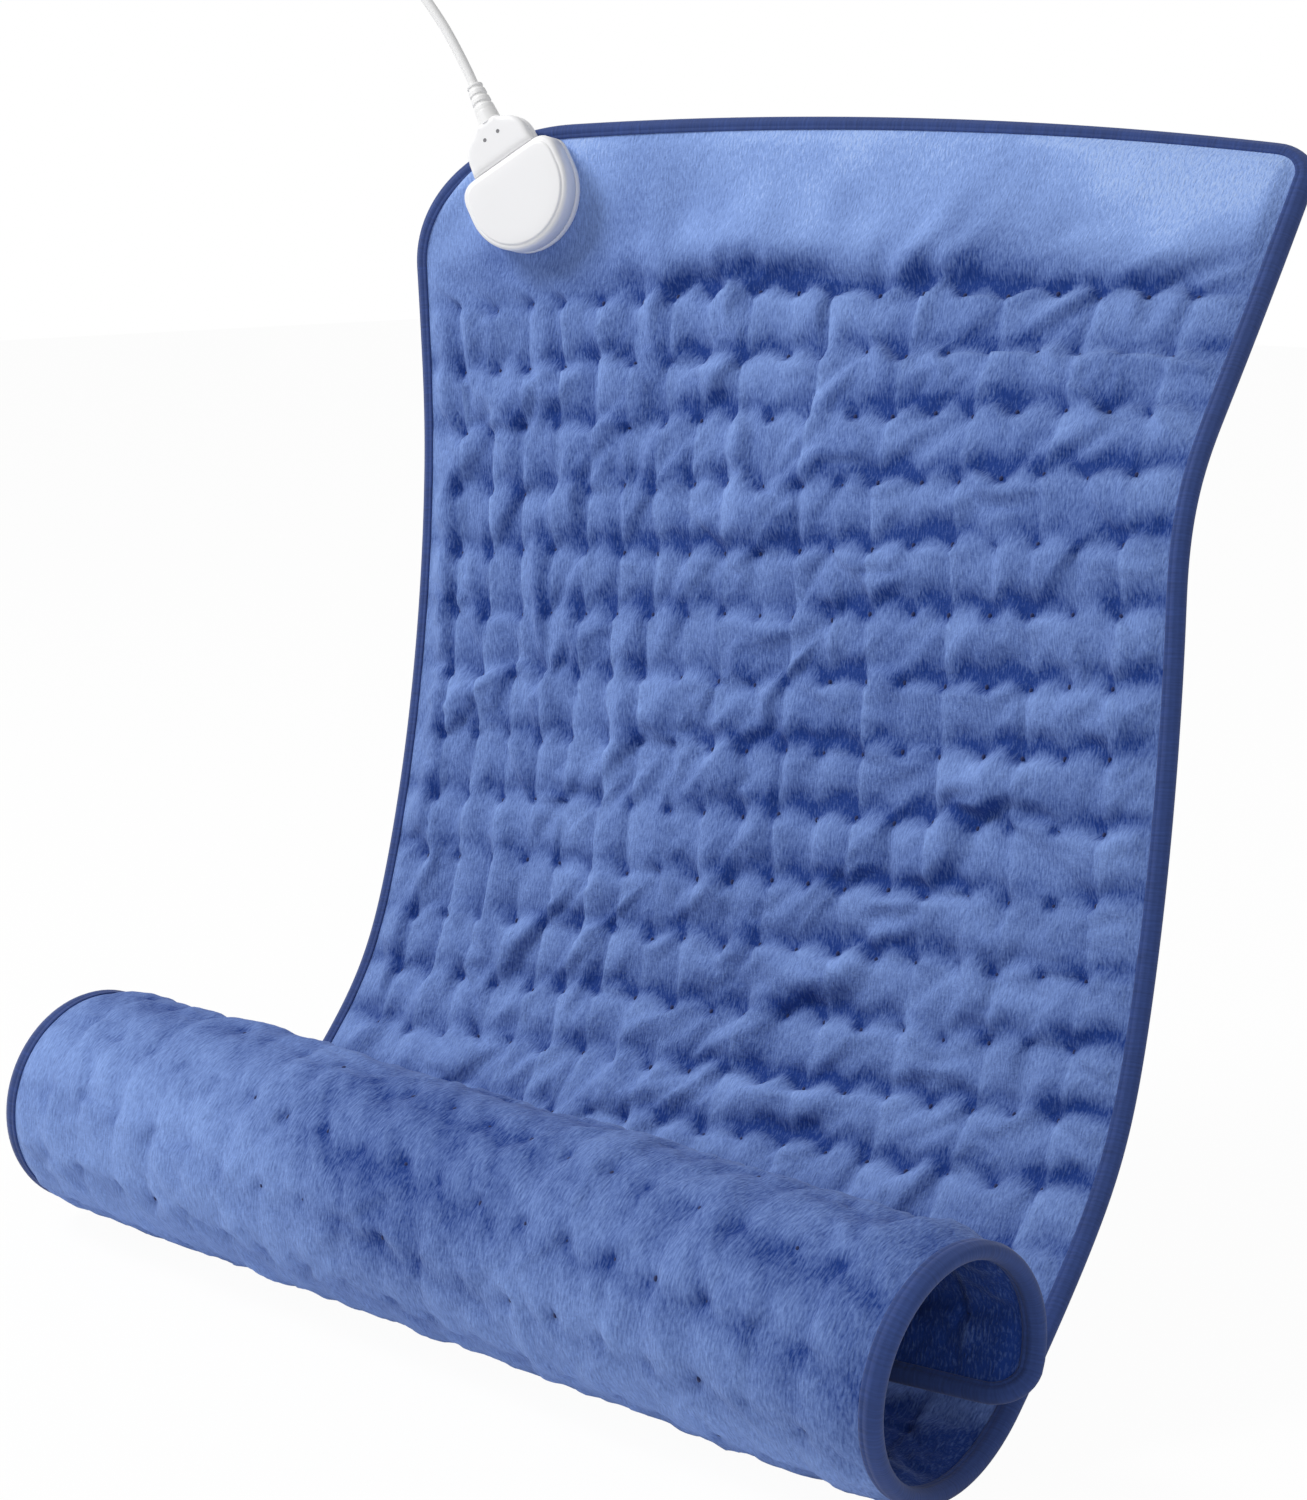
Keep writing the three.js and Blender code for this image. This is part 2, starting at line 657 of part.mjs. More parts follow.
// Ring turned round the Y axis from pairs of radius and distance
function ring(pairs, sides = 10) {
  const closed = [...pairs, pairs[0]].map(([r, y]) => new THREE.Vector2(r, y));
  return new THREE.LatheGeometry(closed, sides);
}
// Ribbed strain relief along Y, from its root at y0 to its tip
function reliefRing(y0, root = RELIEF_ROOT, tip = RELIEF_TIP, length = RELIEF_LENGTH) {
  const bore = CORD_RADIUS + GAP;
  const pairs = [[bore, y0], [root, y0]];
  const ribs = 3;
  for (let k = 0; k < ribs; k += 1) {
    const start = y0 + ((k + 0.45) * length) / ribs;
    const end = y0 + ((k + 0.8) * length) / ribs;
    const r = root + ((tip - root) * (k + 0.6)) / ribs;
    pairs.push([r, start], [r - 0.5, start + 0.5], [r - 0.5, end], [r - 0.1, end + 0.4]);
  }
  pairs.push([tip, y0 + length], [bore, y0 + length]);
  return ring(pairs);
}

// Floor under the roll's lowest pillow
let lowest = Infinity;
const frontCover = tuftedCover(1);
const backCover = tuftedCover(-1);
for (let k = 0; k < backCover.attributes.position.count; k += 1) {
  lowest = Math.min(lowest, backCover.attributes.position.getZ(k));
}
const FLOOR = lowest - GAP;

// Frame of the dock on the pad: x across the plug, y out along the plug, z out of the pad
const dockSurface = BAND;
const dockCentre = padPoint(DOCK_ACROSS, DOCK_ALONG, dockSurface);
const downSheet = padPoint(DOCK_ACROSS, DOCK_ALONG + 5, dockSurface).sub(dockCentre).normalize();
const alongEdge = padPoint(DOCK_ACROSS + 5, DOCK_ALONG, dockSurface).sub(dockCentre).normalize();
const dockZ = downSheet.clone().cross(alongEdge).normalize();
const dockUp = downSheet.clone().negate();
const dockY = dockUp.clone().applyAxisAngle(dockZ, radians(DOCK_TURN));
const dockX = dockY.clone().cross(dockZ);
const dockFrame = new THREE.Matrix4().makeBasis(dockX, dockY, dockZ).setPosition(dockCentre);

// Outline of the dock, drawn in by an inset
function dockShape(inset) {
  const half = DOCK_HALF - inset;
  const mouth = DOCK_MOUTH_HALF - inset * 0.5;
  const top = DOCK_MOUTH - inset;
  const shape = new THREE.Shape();
  shape.moveTo(-mouth, top);
  shape.quadraticCurveTo(-half, top, -half, top - DOCK_CORNER);
  shape.absarc(0, -1, half, Math.PI, Math.PI * 2, false);
  shape.lineTo(half, top - DOCK_CORNER);
  shape.quadraticCurveTo(half, top, mouth, top);
  shape.closePath();
  return shape;
}
const baseBottom = DOCK_STAND_OFF;
const baseTop = baseBottom + DOCK_BASE_THICK;
const shellBottom = baseTop + GAP;
const shellTop = shellBottom + DOCK_HEIGHT;
const tongueMiddle = shellBottom + (DOCK_HEIGHT - DOCK_WALL) / 2 + 0.2;
const dockBase = slab(dockShape(0), baseBottom, baseTop, 0, 9);
let shellSolid = solidOf(slab(dockShape(0), shellBottom, shellTop, 0.9, 9));
shellSolid = shellSolid.add(solidOf(slab(dockShape(DOCK_STEP_INSET), shellTop - 1, shellTop + DOCK_STEP_HEIGHT, 0, 9)));
shellSolid = shellSolid.subtract(solidOf(slab(dockShape(DOCK_WALL), shellBottom - 1, shellTop - DOCK_WALL, 0, 9)));
const slotHalf = TONGUE_HALF + 0.5;
const slotLow = tongueMiddle - TONGUE_THICK / 2 - 0.5;
const slotHigh = tongueMiddle + TONGUE_THICK / 2 + 0.5;
shellSolid = shellSolid.subtract(solidOf(box(-slotHalf, slotHalf, 5, DOCK_MOUTH + 5, slotLow, slotHigh)));
const dockShell = geometryOf(shellSolid);
const tongueFront = DOCK_MOUTH - TONGUE_REACH;
const blockFront = tongueFront - 1.2;
const blockBack = blockFront - 7;
const terminalBlock = box(-slotHalf + 1, slotHalf - 1, blockBack, blockFront, shellBottom, slotHigh);
const pinStart = blockFront + GAP;
const pins = [-1, 0, 1].map((k) => rod(k * PIN_PITCH, tongueMiddle, PIN_RADIUS, pinStart, pinStart + PIN_LENGTH));
const fuseRadius = 2.4;
const fuseY = blockBack - fuseRadius - 2;
const thermalFuse = new THREE.CylinderGeometry(fuseRadius, fuseRadius, 14, 12)
  .rotateZ(Math.PI / 2).translate(0, fuseY, shellBottom + fuseRadius);

// Plug: two shells clamped on the tongue
const plugStart = DOCK_MOUTH + 0.5;
const plugShoulder = plugStart + PLUG_LENGTH;
const plugEnd = plugShoulder + PLUG_NECK_LENGTH;
function plugShape() {
  const shape = new THREE.Shape();
  shape.moveTo(-PLUG_HALF, plugStart);
  shape.lineTo(PLUG_HALF, plugStart);
  shape.lineTo(PLUG_HALF - 0.5, plugShoulder - 2);
  shape.quadraticCurveTo(PLUG_HALF - 1.5, plugShoulder + 6, PLUG_SHOULDER_HALF, plugEnd - 3);
  shape.quadraticCurveTo(PLUG_NECK_HALF + 0.5, plugEnd - 1, PLUG_NECK_HALF, plugEnd);
  shape.lineTo(-PLUG_NECK_HALF, plugEnd);
  shape.quadraticCurveTo(-PLUG_NECK_HALF - 0.5, plugEnd - 1, -PLUG_SHOULDER_HALF, plugEnd - 3);
  shape.quadraticCurveTo(-PLUG_HALF + 1.5, plugShoulder + 6, -PLUG_HALF + 0.5, plugShoulder - 2);
  shape.closePath();
  return shape;
}
const plugLow = tongueMiddle - PLUG_THICK / 2;
const plugHigh = tongueMiddle + PLUG_THICK / 2;
const tongueBack = plugShoulder - 2;
const plugSolid = solidOf(slab(plugShape(), plugLow, plugHigh, 1.2, 4));
const tonguePocket = solidOf(box(
  -TONGUE_HALF - GAP, TONGUE_HALF + GAP, plugStart - 2, tongueBack + GAP,
  tongueMiddle - TONGUE_THICK / 2 - GAP, tongueMiddle + TONGUE_THICK / 2 + GAP,
));
const cordPocket = solidOf(rod(0, tongueMiddle, CORD_RADIUS + GAP, tongueBack - 1, plugEnd + 2));
const plugHollow = plugSolid.subtract(tonguePocket).subtract(cordPocket);
const dimples = [-1, 1].map((k) => solidOf(post(k * 4, plugShoulder + DIMPLE_ALONG, 1, plugHigh - 0.8, plugHigh + 1, 8)));
const plugUpper = geometryOf(plugHollow.intersect(
  solidOf(box(-40, 40, plugStart - 5, plugEnd + 5, tongueMiddle + GAP / 2, plugHigh + 5)),
).subtract(dimples[0]).subtract(dimples[1]));
const plugLower = geometryOf(plugHollow.intersect(
  solidOf(box(-40, 40, plugStart - 5, plugEnd + 5, plugLow - 5, tongueMiddle - GAP / 2)),
));
let tongueSolid = solidOf(box(
  -TONGUE_HALF, TONGUE_HALF, tongueFront, tongueBack,
  tongueMiddle - TONGUE_THICK / 2, tongueMiddle + TONGUE_THICK / 2,
));
for (const k of [-1, 0, 1]) {
  const hole = rod(k * PIN_PITCH, tongueMiddle, PIN_RADIUS + SLIDE_GAP, tongueFront - 1, pinStart + PIN_LENGTH + 1);
  tongueSolid = tongueSolid.subtract(solidOf(hole));
}
const plugTongue = geometryOf(tongueSolid);
const plugRelief = reliefRing(plugEnd + GAP).translate(0, 0, tongueMiddle);
const cordStart = plugEnd - CORD_GRIP;
const reliefTip = plugEnd + GAP + RELIEF_LENGTH;
const dockPoint = (y) => new THREE.Vector3(0, y, tongueMiddle).applyMatrix4(dockFrame);

// Cords: heights in these lists are above the floor
function floorPoint([x, y, z]) {
  return new THREE.Vector3(x, y, FLOOR + z);
}
function cordTube(curve, steps, sides) {
  const circle = new THREE.Shape();
  for (let k = 0; k < sides; k += 1) {
    const a = (k / sides) * Math.PI * 2;
    const x = CORD_RADIUS * Math.cos(a);
    const y = CORD_RADIUS * Math.sin(a);
    if (k === 0) circle.moveTo(x, y);
    else circle.lineTo(x, y);
  }
  circle.closePath();
  return new THREE.ExtrudeGeometry(circle, { extrudePath: curve, steps, bevelEnabled: false });
}
const caseMiddle = CASE_SPLIT + GAP / 2;
const caseBackEnd = CASE_Y + CASE_LENGTH / 2;
const caseFrontEnd = CASE_Y - CASE_LENGTH / 2;
const inletTip = caseBackEnd + RELIEF_LENGTH;
const outletTip = caseFrontEnd - RELIEF_LENGTH;
const LEAD_ROUTE = [
  [-183.5, -55, 520], [-199, -55.5, 538], [-217, -58, 559], [-238, -72, 581], [-262, -96, 600],
  [-288, -130, 610], [-313, -168, 606], [-334, -204, 586], [-351, -232, 548], [-362, -246, 490],
  [-369, -253, 400], [-374, -257, 300], [-378, -260, 200], [-380, -261, 110], [-380, -262, 60],
  [-380, -263.5, 40], [-380, -268, 27], [-380, -275, 18],
];
const leadCurve = new THREE.CatmullRomCurve3([
  dockPoint(cordStart), dockPoint(reliefTip), dockPoint(reliefTip + 8),
  ...LEAD_ROUTE.map(floorPoint),
  floorPoint([CASE_X, inletTip + 8, caseMiddle + 0.5]), floorPoint([CASE_X, inletTip, caseMiddle]),
  floorPoint([CASE_X, caseBackEnd - CORD_GRIP, caseMiddle]),
], false, 'centripetal');
const leadCord = cordTube(leadCurve, 78, 8);

// Coiled cord: spirals in on the floor layer, climbs in the half turn at the middle, spirals out above
const coilBottom = TIE_THICK + 2 * GAP + CORD_RADIUS;
const coilHalfTurn = 0.5;
const coilTotal = 2 * COIL_TURNS + coilHalfTurn;
class CoilCurve extends THREE.Curve {
  getPoint(t) {
    const turn = t * coilTotal;
    const middle = Math.min(Math.max((turn - COIL_TURNS) / coilHalfTurn, 0), 1);
    let radius = COIL_INNER - COIL_DIP * Math.sin(Math.PI * middle);
    if (turn < COIL_TURNS) radius = COIL_OUTER - COIL_PITCH * turn;
    if (turn > COIL_TURNS + coilHalfTurn) radius = COIL_INNER + COIL_PITCH * (turn - COIL_TURNS - coilHalfTurn);
    const angle = Math.PI - turn * Math.PI * 2;
    return floorPoint([
      COIL_X + radius * Math.cos(angle),
      COIL_Y + radius * Math.sin(angle),
      coilBottom + COIL_PITCH * smooth(middle),
    ]);
  }
}
const coilCurve = new CoilCurve();
const coilCord = cordTube(coilCurve, Math.round(24 * coilTotal), 6);
function leastCoilGap() {
  const count = 900;
  const points = [];
  for (let k = 0; k <= count; k += 1) points.push(coilCurve.getPoint(k / count));
  let least = Infinity;
  const apart = Math.round((count / coilTotal) * 0.4);
  for (let i = 0; i <= count; i += 1) {
    for (let j = i + apart; j <= count; j += 1) least = Math.min(least, points[i].distanceTo(points[j]));
  }
  return least - CORD_DIAMETER;
}
console.log('least gap between coil turns, mm:', leastCoilGap().toFixed(2));

const coilStart = [COIL_X - COIL_OUTER, COIL_Y - GAP, coilBottom];
const uTurn = (CASE_X + coilStart[0]) / 2;
const mainsCurveA = new THREE.CatmullRomCurve3([
  floorPoint([CASE_X, caseFrontEnd + CORD_GRIP, caseMiddle]), floorPoint([CASE_X, outletTip, caseMiddle]),
  floorPoint([CASE_X, outletTip - 8, caseMiddle - 0.8]), floorPoint([CASE_X + 3, outletTip - 20, 8]),
  floorPoint([CASE_X + 10, outletTip - 29, 5]), floorPoint([uTurn, outletTip - 33, 3.8]),
  floorPoint([coilStart[0] - 10, outletTip - 29, 3.8]), floorPoint([coilStart[0] - 2, outletTip - 18, 3.8]),
  floorPoint([coilStart[0], COIL_Y - 60, 3.8]), floorPoint([coilStart[0], COIL_Y - 20, coilBottom]),
  floorPoint(coilStart),
], false, 'centripetal');
const mainsCordA = cordTube(mainsCurveA, 40, 8);
const coilEndX = COIL_X + COIL_OUTER;
const coilTop = coilBottom + COIL_PITCH;
const mainsMiddle = MAINS_BODY_THICK / 2;
const mainsReliefLength = 18;
const mainsBodyStart = COIL_Y - 34 - mainsReliefLength;
const mainsReliefTip = mainsBodyStart + GAP + mainsReliefLength;
const mainsCurveB = new THREE.CatmullRomCurve3([
  floorPoint([coilEndX, COIL_Y - GAP, coilTop]), floorPoint([coilEndX, COIL_Y - 12, coilTop]),
  floorPoint([coilEndX, mainsReliefTip, mainsMiddle]), floorPoint([coilEndX, mainsBodyStart - CORD_GRIP, mainsMiddle]),
], false, 'centripetal');
const mainsCordB = cordTube(mainsCurveB, 10, 8);

// Tie round one side of the coil
const tieInner = COIL_INNER - COIL_DIP - CORD_RADIUS - 2 * GAP;
const tieOuter = COIL_OUTER + CORD_RADIUS + 2 * GAP;
const tieHigh = coilTop + CORD_RADIUS + 2 * GAP;
const tieSolid = solidOf(box(-TIE_WIDTH / 2, TIE_WIDTH / 2, tieInner - TIE_THICK, tieOuter + TIE_THICK, GAP, tieHigh + TIE_THICK))
  .subtract(solidOf(box(-TIE_WIDTH, TIE_WIDTH, tieInner, tieOuter, GAP + TIE_THICK, tieHigh)));
const coilTie = geometryOf(tieSolid).translate(COIL_X, COIL_Y, FLOOR);

// Mains plug lying beside the coil
function roundedBox(width, length, corner) {
  const shape = new THREE.Shape();
  const x = width / 2 - corner;
  const y = length / 2 - corner;
  shape.absarc(x, y, corner, 0, Math.PI / 2, false);
  shape.absarc(-x, y, corner, Math.PI / 2, Math.PI, false);
  shape.absarc(-x, -y, corner, Math.PI, Math.PI * 1.5, false);
  shape.absarc(x, -y, corner, Math.PI * 1.5, Math.PI * 2, false);
  shape.closePath();
  return shape;
}
const mainsBodySolid = solidOf(slab(roundedBox(MAINS_BODY_WIDTH, MAINS_BODY_LENGTH, 6), 0, MAINS_BODY_THICK, 2, 4))
  .subtract(solidOf(rod(0, mainsMiddle, CORD_RADIUS + GAP, MAINS_BODY_LENGTH / 2 - CORD_GRIP - 1, MAINS_BODY_LENGTH)));
const mainsBody = geometryOf(mainsBodySolid)
  .translate(coilEndX, mainsBodyStart - MAINS_BODY_LENGTH / 2, FLOOR);
const mainsRelief = reliefRing(mainsBodyStart + GAP, 5, RELIEF_TIP, mainsReliefLength)
  .translate(coilEndX, 0, FLOOR + mainsMiddle);
const bladeStart = mainsBodyStart - MAINS_BODY_LENGTH - GAP;
const blades = [-1, 1].map((k) => box(
  coilEndX + (k * BLADE_PITCH) / 2 - BLADE_THICK / 2, coilEndX + (k * BLADE_PITCH) / 2 + BLADE_THICK / 2,
  bladeStart - BLADE_LENGTH, bladeStart,
  FLOOR + mainsMiddle - BLADE_WIDTH / 2, FLOOR + mainsMiddle + BLADE_WIDTH / 2,
));

// Hand controller, drawn about its own middle on the floor
const caseInside = CASE_HEIGHT - CASE_WALL;
const boardTop = BOARD_HEIGHT + BOARD_THICK;
const caseOuter = solidOf(slab(roundedBox(CASE_WIDTH, CASE_LENGTH, CASE_CORNER), 0, CASE_HEIGHT, CASE_ROUNDING, 5));
const caseHollow = solidOf(slab(
  roundedBox(CASE_WIDTH - 2 * CASE_WALL, CASE_LENGTH - 2 * CASE_WALL, CASE_CORNER - CASE_WALL),
  CASE_WALL, caseInside, CASE_ROUNDING - 1.2, 5,
));
const screwSpots = [[1, 1], [-1, 1], [1, -1], [-1, -1]].map(([a, b]) => [a * SCREW_X, b * SCREW_Y]);
const halfSpan = CASE_LENGTH;
let backSolid = caseOuter.subtract(caseHollow)
  .intersect(solidOf(box(-halfSpan, halfSpan, -halfSpan, halfSpan, -5, CASE_SPLIT)));
let frontSolid = caseOuter.subtract(caseHollow)
  .intersect(solidOf(box(-halfSpan, halfSpan, -halfSpan, halfSpan, CASE_SPLIT + GAP, CASE_HEIGHT + 5)));
const headSeat = SCREW_HEAD_HEIGHT + 0.5 + GAP;
for (const [x, y] of screwSpots) {
  backSolid = backSolid.add(solidOf(post(x, y, POST_RADIUS, CASE_WALL - 1, CASE_SPLIT)));
  backSolid = backSolid.subtract(solidOf(post(x, y, SCREW_HEAD + SLIDE_GAP, -1, headSeat)));
  backSolid = backSolid.subtract(solidOf(post(x, y, SCREW_SHANK + SLIDE_GAP, 0, CASE_SPLIT + 1)));
  frontSolid = frontSolid.add(solidOf(post(x, y, POST_RADIUS, CASE_SPLIT + GAP, caseInside + 1)));
  frontSolid = frontSolid.subtract(solidOf(post(x, y, SCREW_SHANK + SLIDE_GAP, CASE_SPLIT, CASE_SPLIT + 7)));
}
const boardPostX = BOARD_HALF_WIDTH - 4;
const boardPostY = BOARD_HALF_LENGTH - 5;
for (const a of [-1, 1]) {
  for (const b of [-1, 1]) {
    const stand = post(a * boardPostX, b * boardPostY, 2.5, CASE_WALL - 1, BOARD_HEIGHT - GAP, 10);
    backSolid = backSolid.add(solidOf(stand));
  }
}
const cordHole = RELIEF_ROOT + SLIDE_GAP;
for (const k of [-1, 1]) {
  const end = (k * CASE_LENGTH) / 2;
  const hole = solidOf(rod(0, caseMiddle, cordHole, Math.min(end, end - k * 8), Math.max(end - k * 8, end + k)));
  backSolid = backSolid.subtract(hole);
  frontSolid = frontSolid.subtract(hole);
}
for (const b of BUTTONS) {
  frontSolid = frontSolid.subtract(solidOf(post(b.x, b.y, b.radius + SLIDE_GAP, caseInside - 1, CASE_HEIGHT + 1, 20)));
}
frontSolid = frontSolid.subtract(solidOf(box(
  -WINDOW_HALF_WIDTH - GAP, WINDOW_HALF_WIDTH + GAP,
  WINDOW_Y - WINDOW_HALF_LENGTH - GAP, WINDOW_Y + WINDOW_HALF_LENGTH + GAP, caseInside - 1, CASE_HEIGHT + 1,
)));
const toCase = (g) => g.translate(CASE_X, CASE_Y, FLOOR);
const caseBack = toCase(geometryOf(backSolid));
const caseFront = toCase(geometryOf(frontSolid));
const board = toCase(box(
  -BOARD_HALF_WIDTH, BOARD_HALF_WIDTH, -BOARD_HALF_LENGTH, BOARD_HALF_LENGTH, BOARD_HEIGHT, boardTop,
));
const flangeTop = caseInside - GAP;
const flangeLow = flangeTop - FLANGE_THICK;
const lensSolid = solidOf(box(
  -WINDOW_HALF_WIDTH, WINDOW_HALF_WIDTH, WINDOW_Y - WINDOW_HALF_LENGTH, WINDOW_Y + WINDOW_HALF_LENGTH,
  flangeLow, CASE_HEIGHT - 0.4,
)).add(solidOf(box(
  -WINDOW_HALF_WIDTH - WINDOW_FLANGE, WINDOW_HALF_WIDTH + WINDOW_FLANGE,
  WINDOW_Y - WINDOW_HALF_LENGTH - WINDOW_FLANGE, WINDOW_Y + WINDOW_HALF_LENGTH + WINDOW_FLANGE,
  flangeLow, flangeTop,
)));
const lens = toCase(geometryOf(lensSolid));
const display = toCase(box(
  -WINDOW_HALF_WIDTH + 1, WINDOW_HALF_WIDTH - 1, WINDOW_Y - WINDOW_HALF_LENGTH + 4, WINDOW_Y + WINDOW_HALF_LENGTH - 5,
  boardTop + GAP, flangeLow - GAP,
));
const switchTop = boardTop + GAP + SWITCH_HEIGHT;
const stemLow = switchTop + GAP + BUTTON_TRAVEL;
const capTop = CASE_HEIGHT + BUTTON_PROUD;
function buttonShape(b) {
  const flange = b.radius + BUTTON_FLANGE;
  const profile = [
    [0, stemLow], [2.4, stemLow], [2.4, flangeLow], [flange, flangeLow], [flange, flangeTop],
    [b.radius, flangeTop], [b.radius, capTop - 0.9], [b.radius - 0.9, capTop], [0, capTop - 0.5],
  ].map(([r, z]) => new THREE.Vector2(r, z));
  return toCase(new THREE.LatheGeometry(profile, 18).rotateX(Math.PI / 2).translate(b.x, b.y, 0));
}
function switchShape(b) {
  const half = SWITCH_SIZE / 2;
  return toCase(box(b.x - half, b.x + half, b.y - half, b.y + half, boardTop + GAP, switchTop));
}
function screwShape([x, y]) {
  const low = headSeat - GAP - SCREW_HEAD_HEIGHT;
  const profile = [
    [0, low], [SCREW_HEAD, low], [SCREW_HEAD, low + SCREW_HEAD_HEIGHT], [SCREW_SHANK, low + SCREW_HEAD_HEIGHT],
    [SCREW_SHANK, CASE_SPLIT + 6], [0, CASE_SPLIT + 6],
  ].map(([r, z]) => new THREE.Vector2(r, z));
  return toCase(new THREE.LatheGeometry(profile, 10).rotateX(Math.PI / 2).translate(x, y, 0));
}
// Cord bush: a flange inside the case wall, a neck through it and a ribbed tail outside
function caseRelief(direction) {
  const wall = CASE_LENGTH / 2 - CASE_WALL;
  const bore = CORD_RADIUS + GAP;
  const flange = RELIEF_ROOT + 2;
  const pairs = [[bore, wall - 2.4], [flange, wall - 2.4], [flange, wall - 0.6], [RELIEF_ROOT, wall - 0.6]];
  const ribs = 3;
  const start = CASE_LENGTH / 2;
  for (let k = 0; k < ribs; k += 1) {
    const a = start + ((k + 0.3) * RELIEF_LENGTH) / ribs;
    const b = start + ((k + 0.7) * RELIEF_LENGTH) / ribs;
    const r = RELIEF_ROOT + ((RELIEF_TIP - RELIEF_ROOT) * (k + 0.5)) / ribs;
    pairs.push([r, a], [r - 0.5, a + 0.5], [r - 0.5, b], [r - 0.1, b + 0.4]);
  }
  pairs.push([RELIEF_TIP, start + RELIEF_LENGTH], [bore, start + RELIEF_LENGTH]);
  const g = ring(pairs);
  if (direction < 0) g.rotateZ(Math.PI);
  return toCase(g.translate(0, 0, caseMiddle));
}

// Materials
const material = (color, roughness, metalness = 0) => new THREE.MeshStandardMaterial({ color, roughness, metalness });
const plush = material(0x5d78c0, 0.95);
const bindingCloth = material(0x34468c, 0.85);
const felt = material(0xd8d4c8, 0.95);
const wireSleeve = material(0xc87f6a, 0.6);
const whiteShell = material(0xe9e9ea, 0.4);
const whiteCord = material(0xe2e2e3, 0.55);
const boardGreen = material(0x2f6b48, 0.6);
const darkPlastic = material(0x2a2c30, 0.5);
const clearLens = material(0x20242a, 0.15);
const metal = material(0xb9bcc0, 0.35, 1);
const blueKey = material(0x5566a8, 0.5);

const group = new THREE.Group();
group.name = 'heating_pad_with_controller';
function add(name, geometry, look, frame) {
  const g = geometry.clone();
  for (const key of Object.keys(g.attributes)) if (key !== 'position') g.deleteAttribute(key);
  const merged = mergeVertices(g, 1e-4);
  if (frame) merged.applyMatrix4(frame);
  merged.computeVertexNormals();
  const mesh = new THREE.Mesh(merged, look);
  mesh.name = name;
  group.add(mesh);
}

add('front_cover', frontCover, plush);
add('back_cover', backCover, plush);
add('element_felt', feltLayer(), felt);
add('heating_wire', heatingWire(), wireSleeve);
add('edge_binding', edgeBinding(), bindingCloth);
add('dock_base', dockBase, whiteShell, dockFrame);
add('dock_shell', dockShell, whiteShell, dockFrame);
add('dock_terminal_block', terminalBlock, darkPlastic, dockFrame);
pins.forEach((g, k) => add(`dock_pin_${k + 1}`, g, metal, dockFrame));
add('thermal_fuse', thermalFuse, metal, dockFrame);
add('plug_upper_shell', plugUpper, whiteShell, dockFrame);
add('plug_lower_shell', plugLower, whiteShell, dockFrame);
add('plug_tongue', plugTongue, whiteShell, dockFrame);
add('plug_relief', plugRelief, whiteCord, dockFrame);
add('lead_cord', leadCord, whiteCord);
add('controller_back', caseBack, whiteShell);
add('controller_front', caseFront, whiteShell);
add('controller_board', board, boardGreen);
add('display_module', display, darkPlastic);
add('display_lens', lens, clearLens);
BUTTONS.forEach((b) => add(b.name, buttonShape(b), blueKey));
BUTTONS.forEach((b, k) => add(`key_switch_${k + 1}`, switchShape(b), darkPlastic));
screwSpots.forEach((spot, k) => add(`controller_screw_${k + 1}`, screwShape(spot), metal));
add('inlet_relief', caseRelief(1), whiteCord);
add('outlet_relief', caseRelief(-1), whiteCord);
add('mains_cord_start', mainsCordA, whiteCord);
add('mains_cord_coil', coilCord, whiteCord);
add('mains_cord_end', mainsCordB, whiteCord);
add('cord_tie', coilTie, darkPlastic);
add('mains_relief', mainsRelief, whiteCord);
add('mains_plug_body', mainsBody, whiteShell);
blades.forEach((g, k) => add(`mains_blade_${k + 1}`, g, metal));

export default group;
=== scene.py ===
"""Looks of a rolled heating pad with its plug, cord and hand controller, as a Blender add-on."""
import json
import math

import bpy
import numpy as np
from mathutils import Matrix, Vector


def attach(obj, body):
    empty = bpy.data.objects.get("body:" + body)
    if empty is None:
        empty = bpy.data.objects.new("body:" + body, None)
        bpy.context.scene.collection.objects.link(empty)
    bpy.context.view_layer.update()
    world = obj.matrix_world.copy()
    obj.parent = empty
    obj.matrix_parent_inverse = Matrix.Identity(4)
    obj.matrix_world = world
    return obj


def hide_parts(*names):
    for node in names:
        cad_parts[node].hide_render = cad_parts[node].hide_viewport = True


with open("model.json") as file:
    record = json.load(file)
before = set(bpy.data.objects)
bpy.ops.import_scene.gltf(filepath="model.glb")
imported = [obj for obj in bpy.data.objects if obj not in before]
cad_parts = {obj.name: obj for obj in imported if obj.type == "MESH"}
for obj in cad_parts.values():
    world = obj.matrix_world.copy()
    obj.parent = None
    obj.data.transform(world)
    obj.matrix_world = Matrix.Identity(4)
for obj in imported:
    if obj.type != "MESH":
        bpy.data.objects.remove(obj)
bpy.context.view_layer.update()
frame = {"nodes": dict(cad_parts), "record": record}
NODES = frame["nodes"]

bl_info = {
    "name": "Heating pad looks",
    "version": (1, 0, 0),
    "blender": (4, 5, 0),
    "location": "3D View > Sidebar > Heating pad",
    "description": "Builds the quilted pad, its connector, cords and controller, and the stage",
    "category": "Object",
}

MM = 0.001
FLOOR = -490.62

# Standing and rolled shape of the middle surface, in millimetres and degrees
HALF_PAD = 212.0
PAD_LENGTH = 838.0
CORNER_ACROSS = 86.0
CORNER_ALONG = 60.0
PLAIN_CORNER = 16.0
TURN = math.radians(5.4)
TURN_CENTRE = 300.0
TOP_LEAN = 25.0
TOP_TWIST = 20.5
TOP_FADE = (117.0, 92.0)
LEAN_ARC = np.array([200.0, 330.0, 390.0, 450.0, 530.0])
LEAN_DEGREES = np.array([9.0, 18.0, 25.0, 45.0, 53.0])
ROLL_START = 530.0
ROLL_FULL = 838.0
ROLL_STOP = 826.0
ROLL_FIRST = 79.0
ROLL_LAST = 30.6
ROLL_SHIFT = 60.0
SHIFT_FADE = (470.0, 110.0)
ANCHOR = 620.0

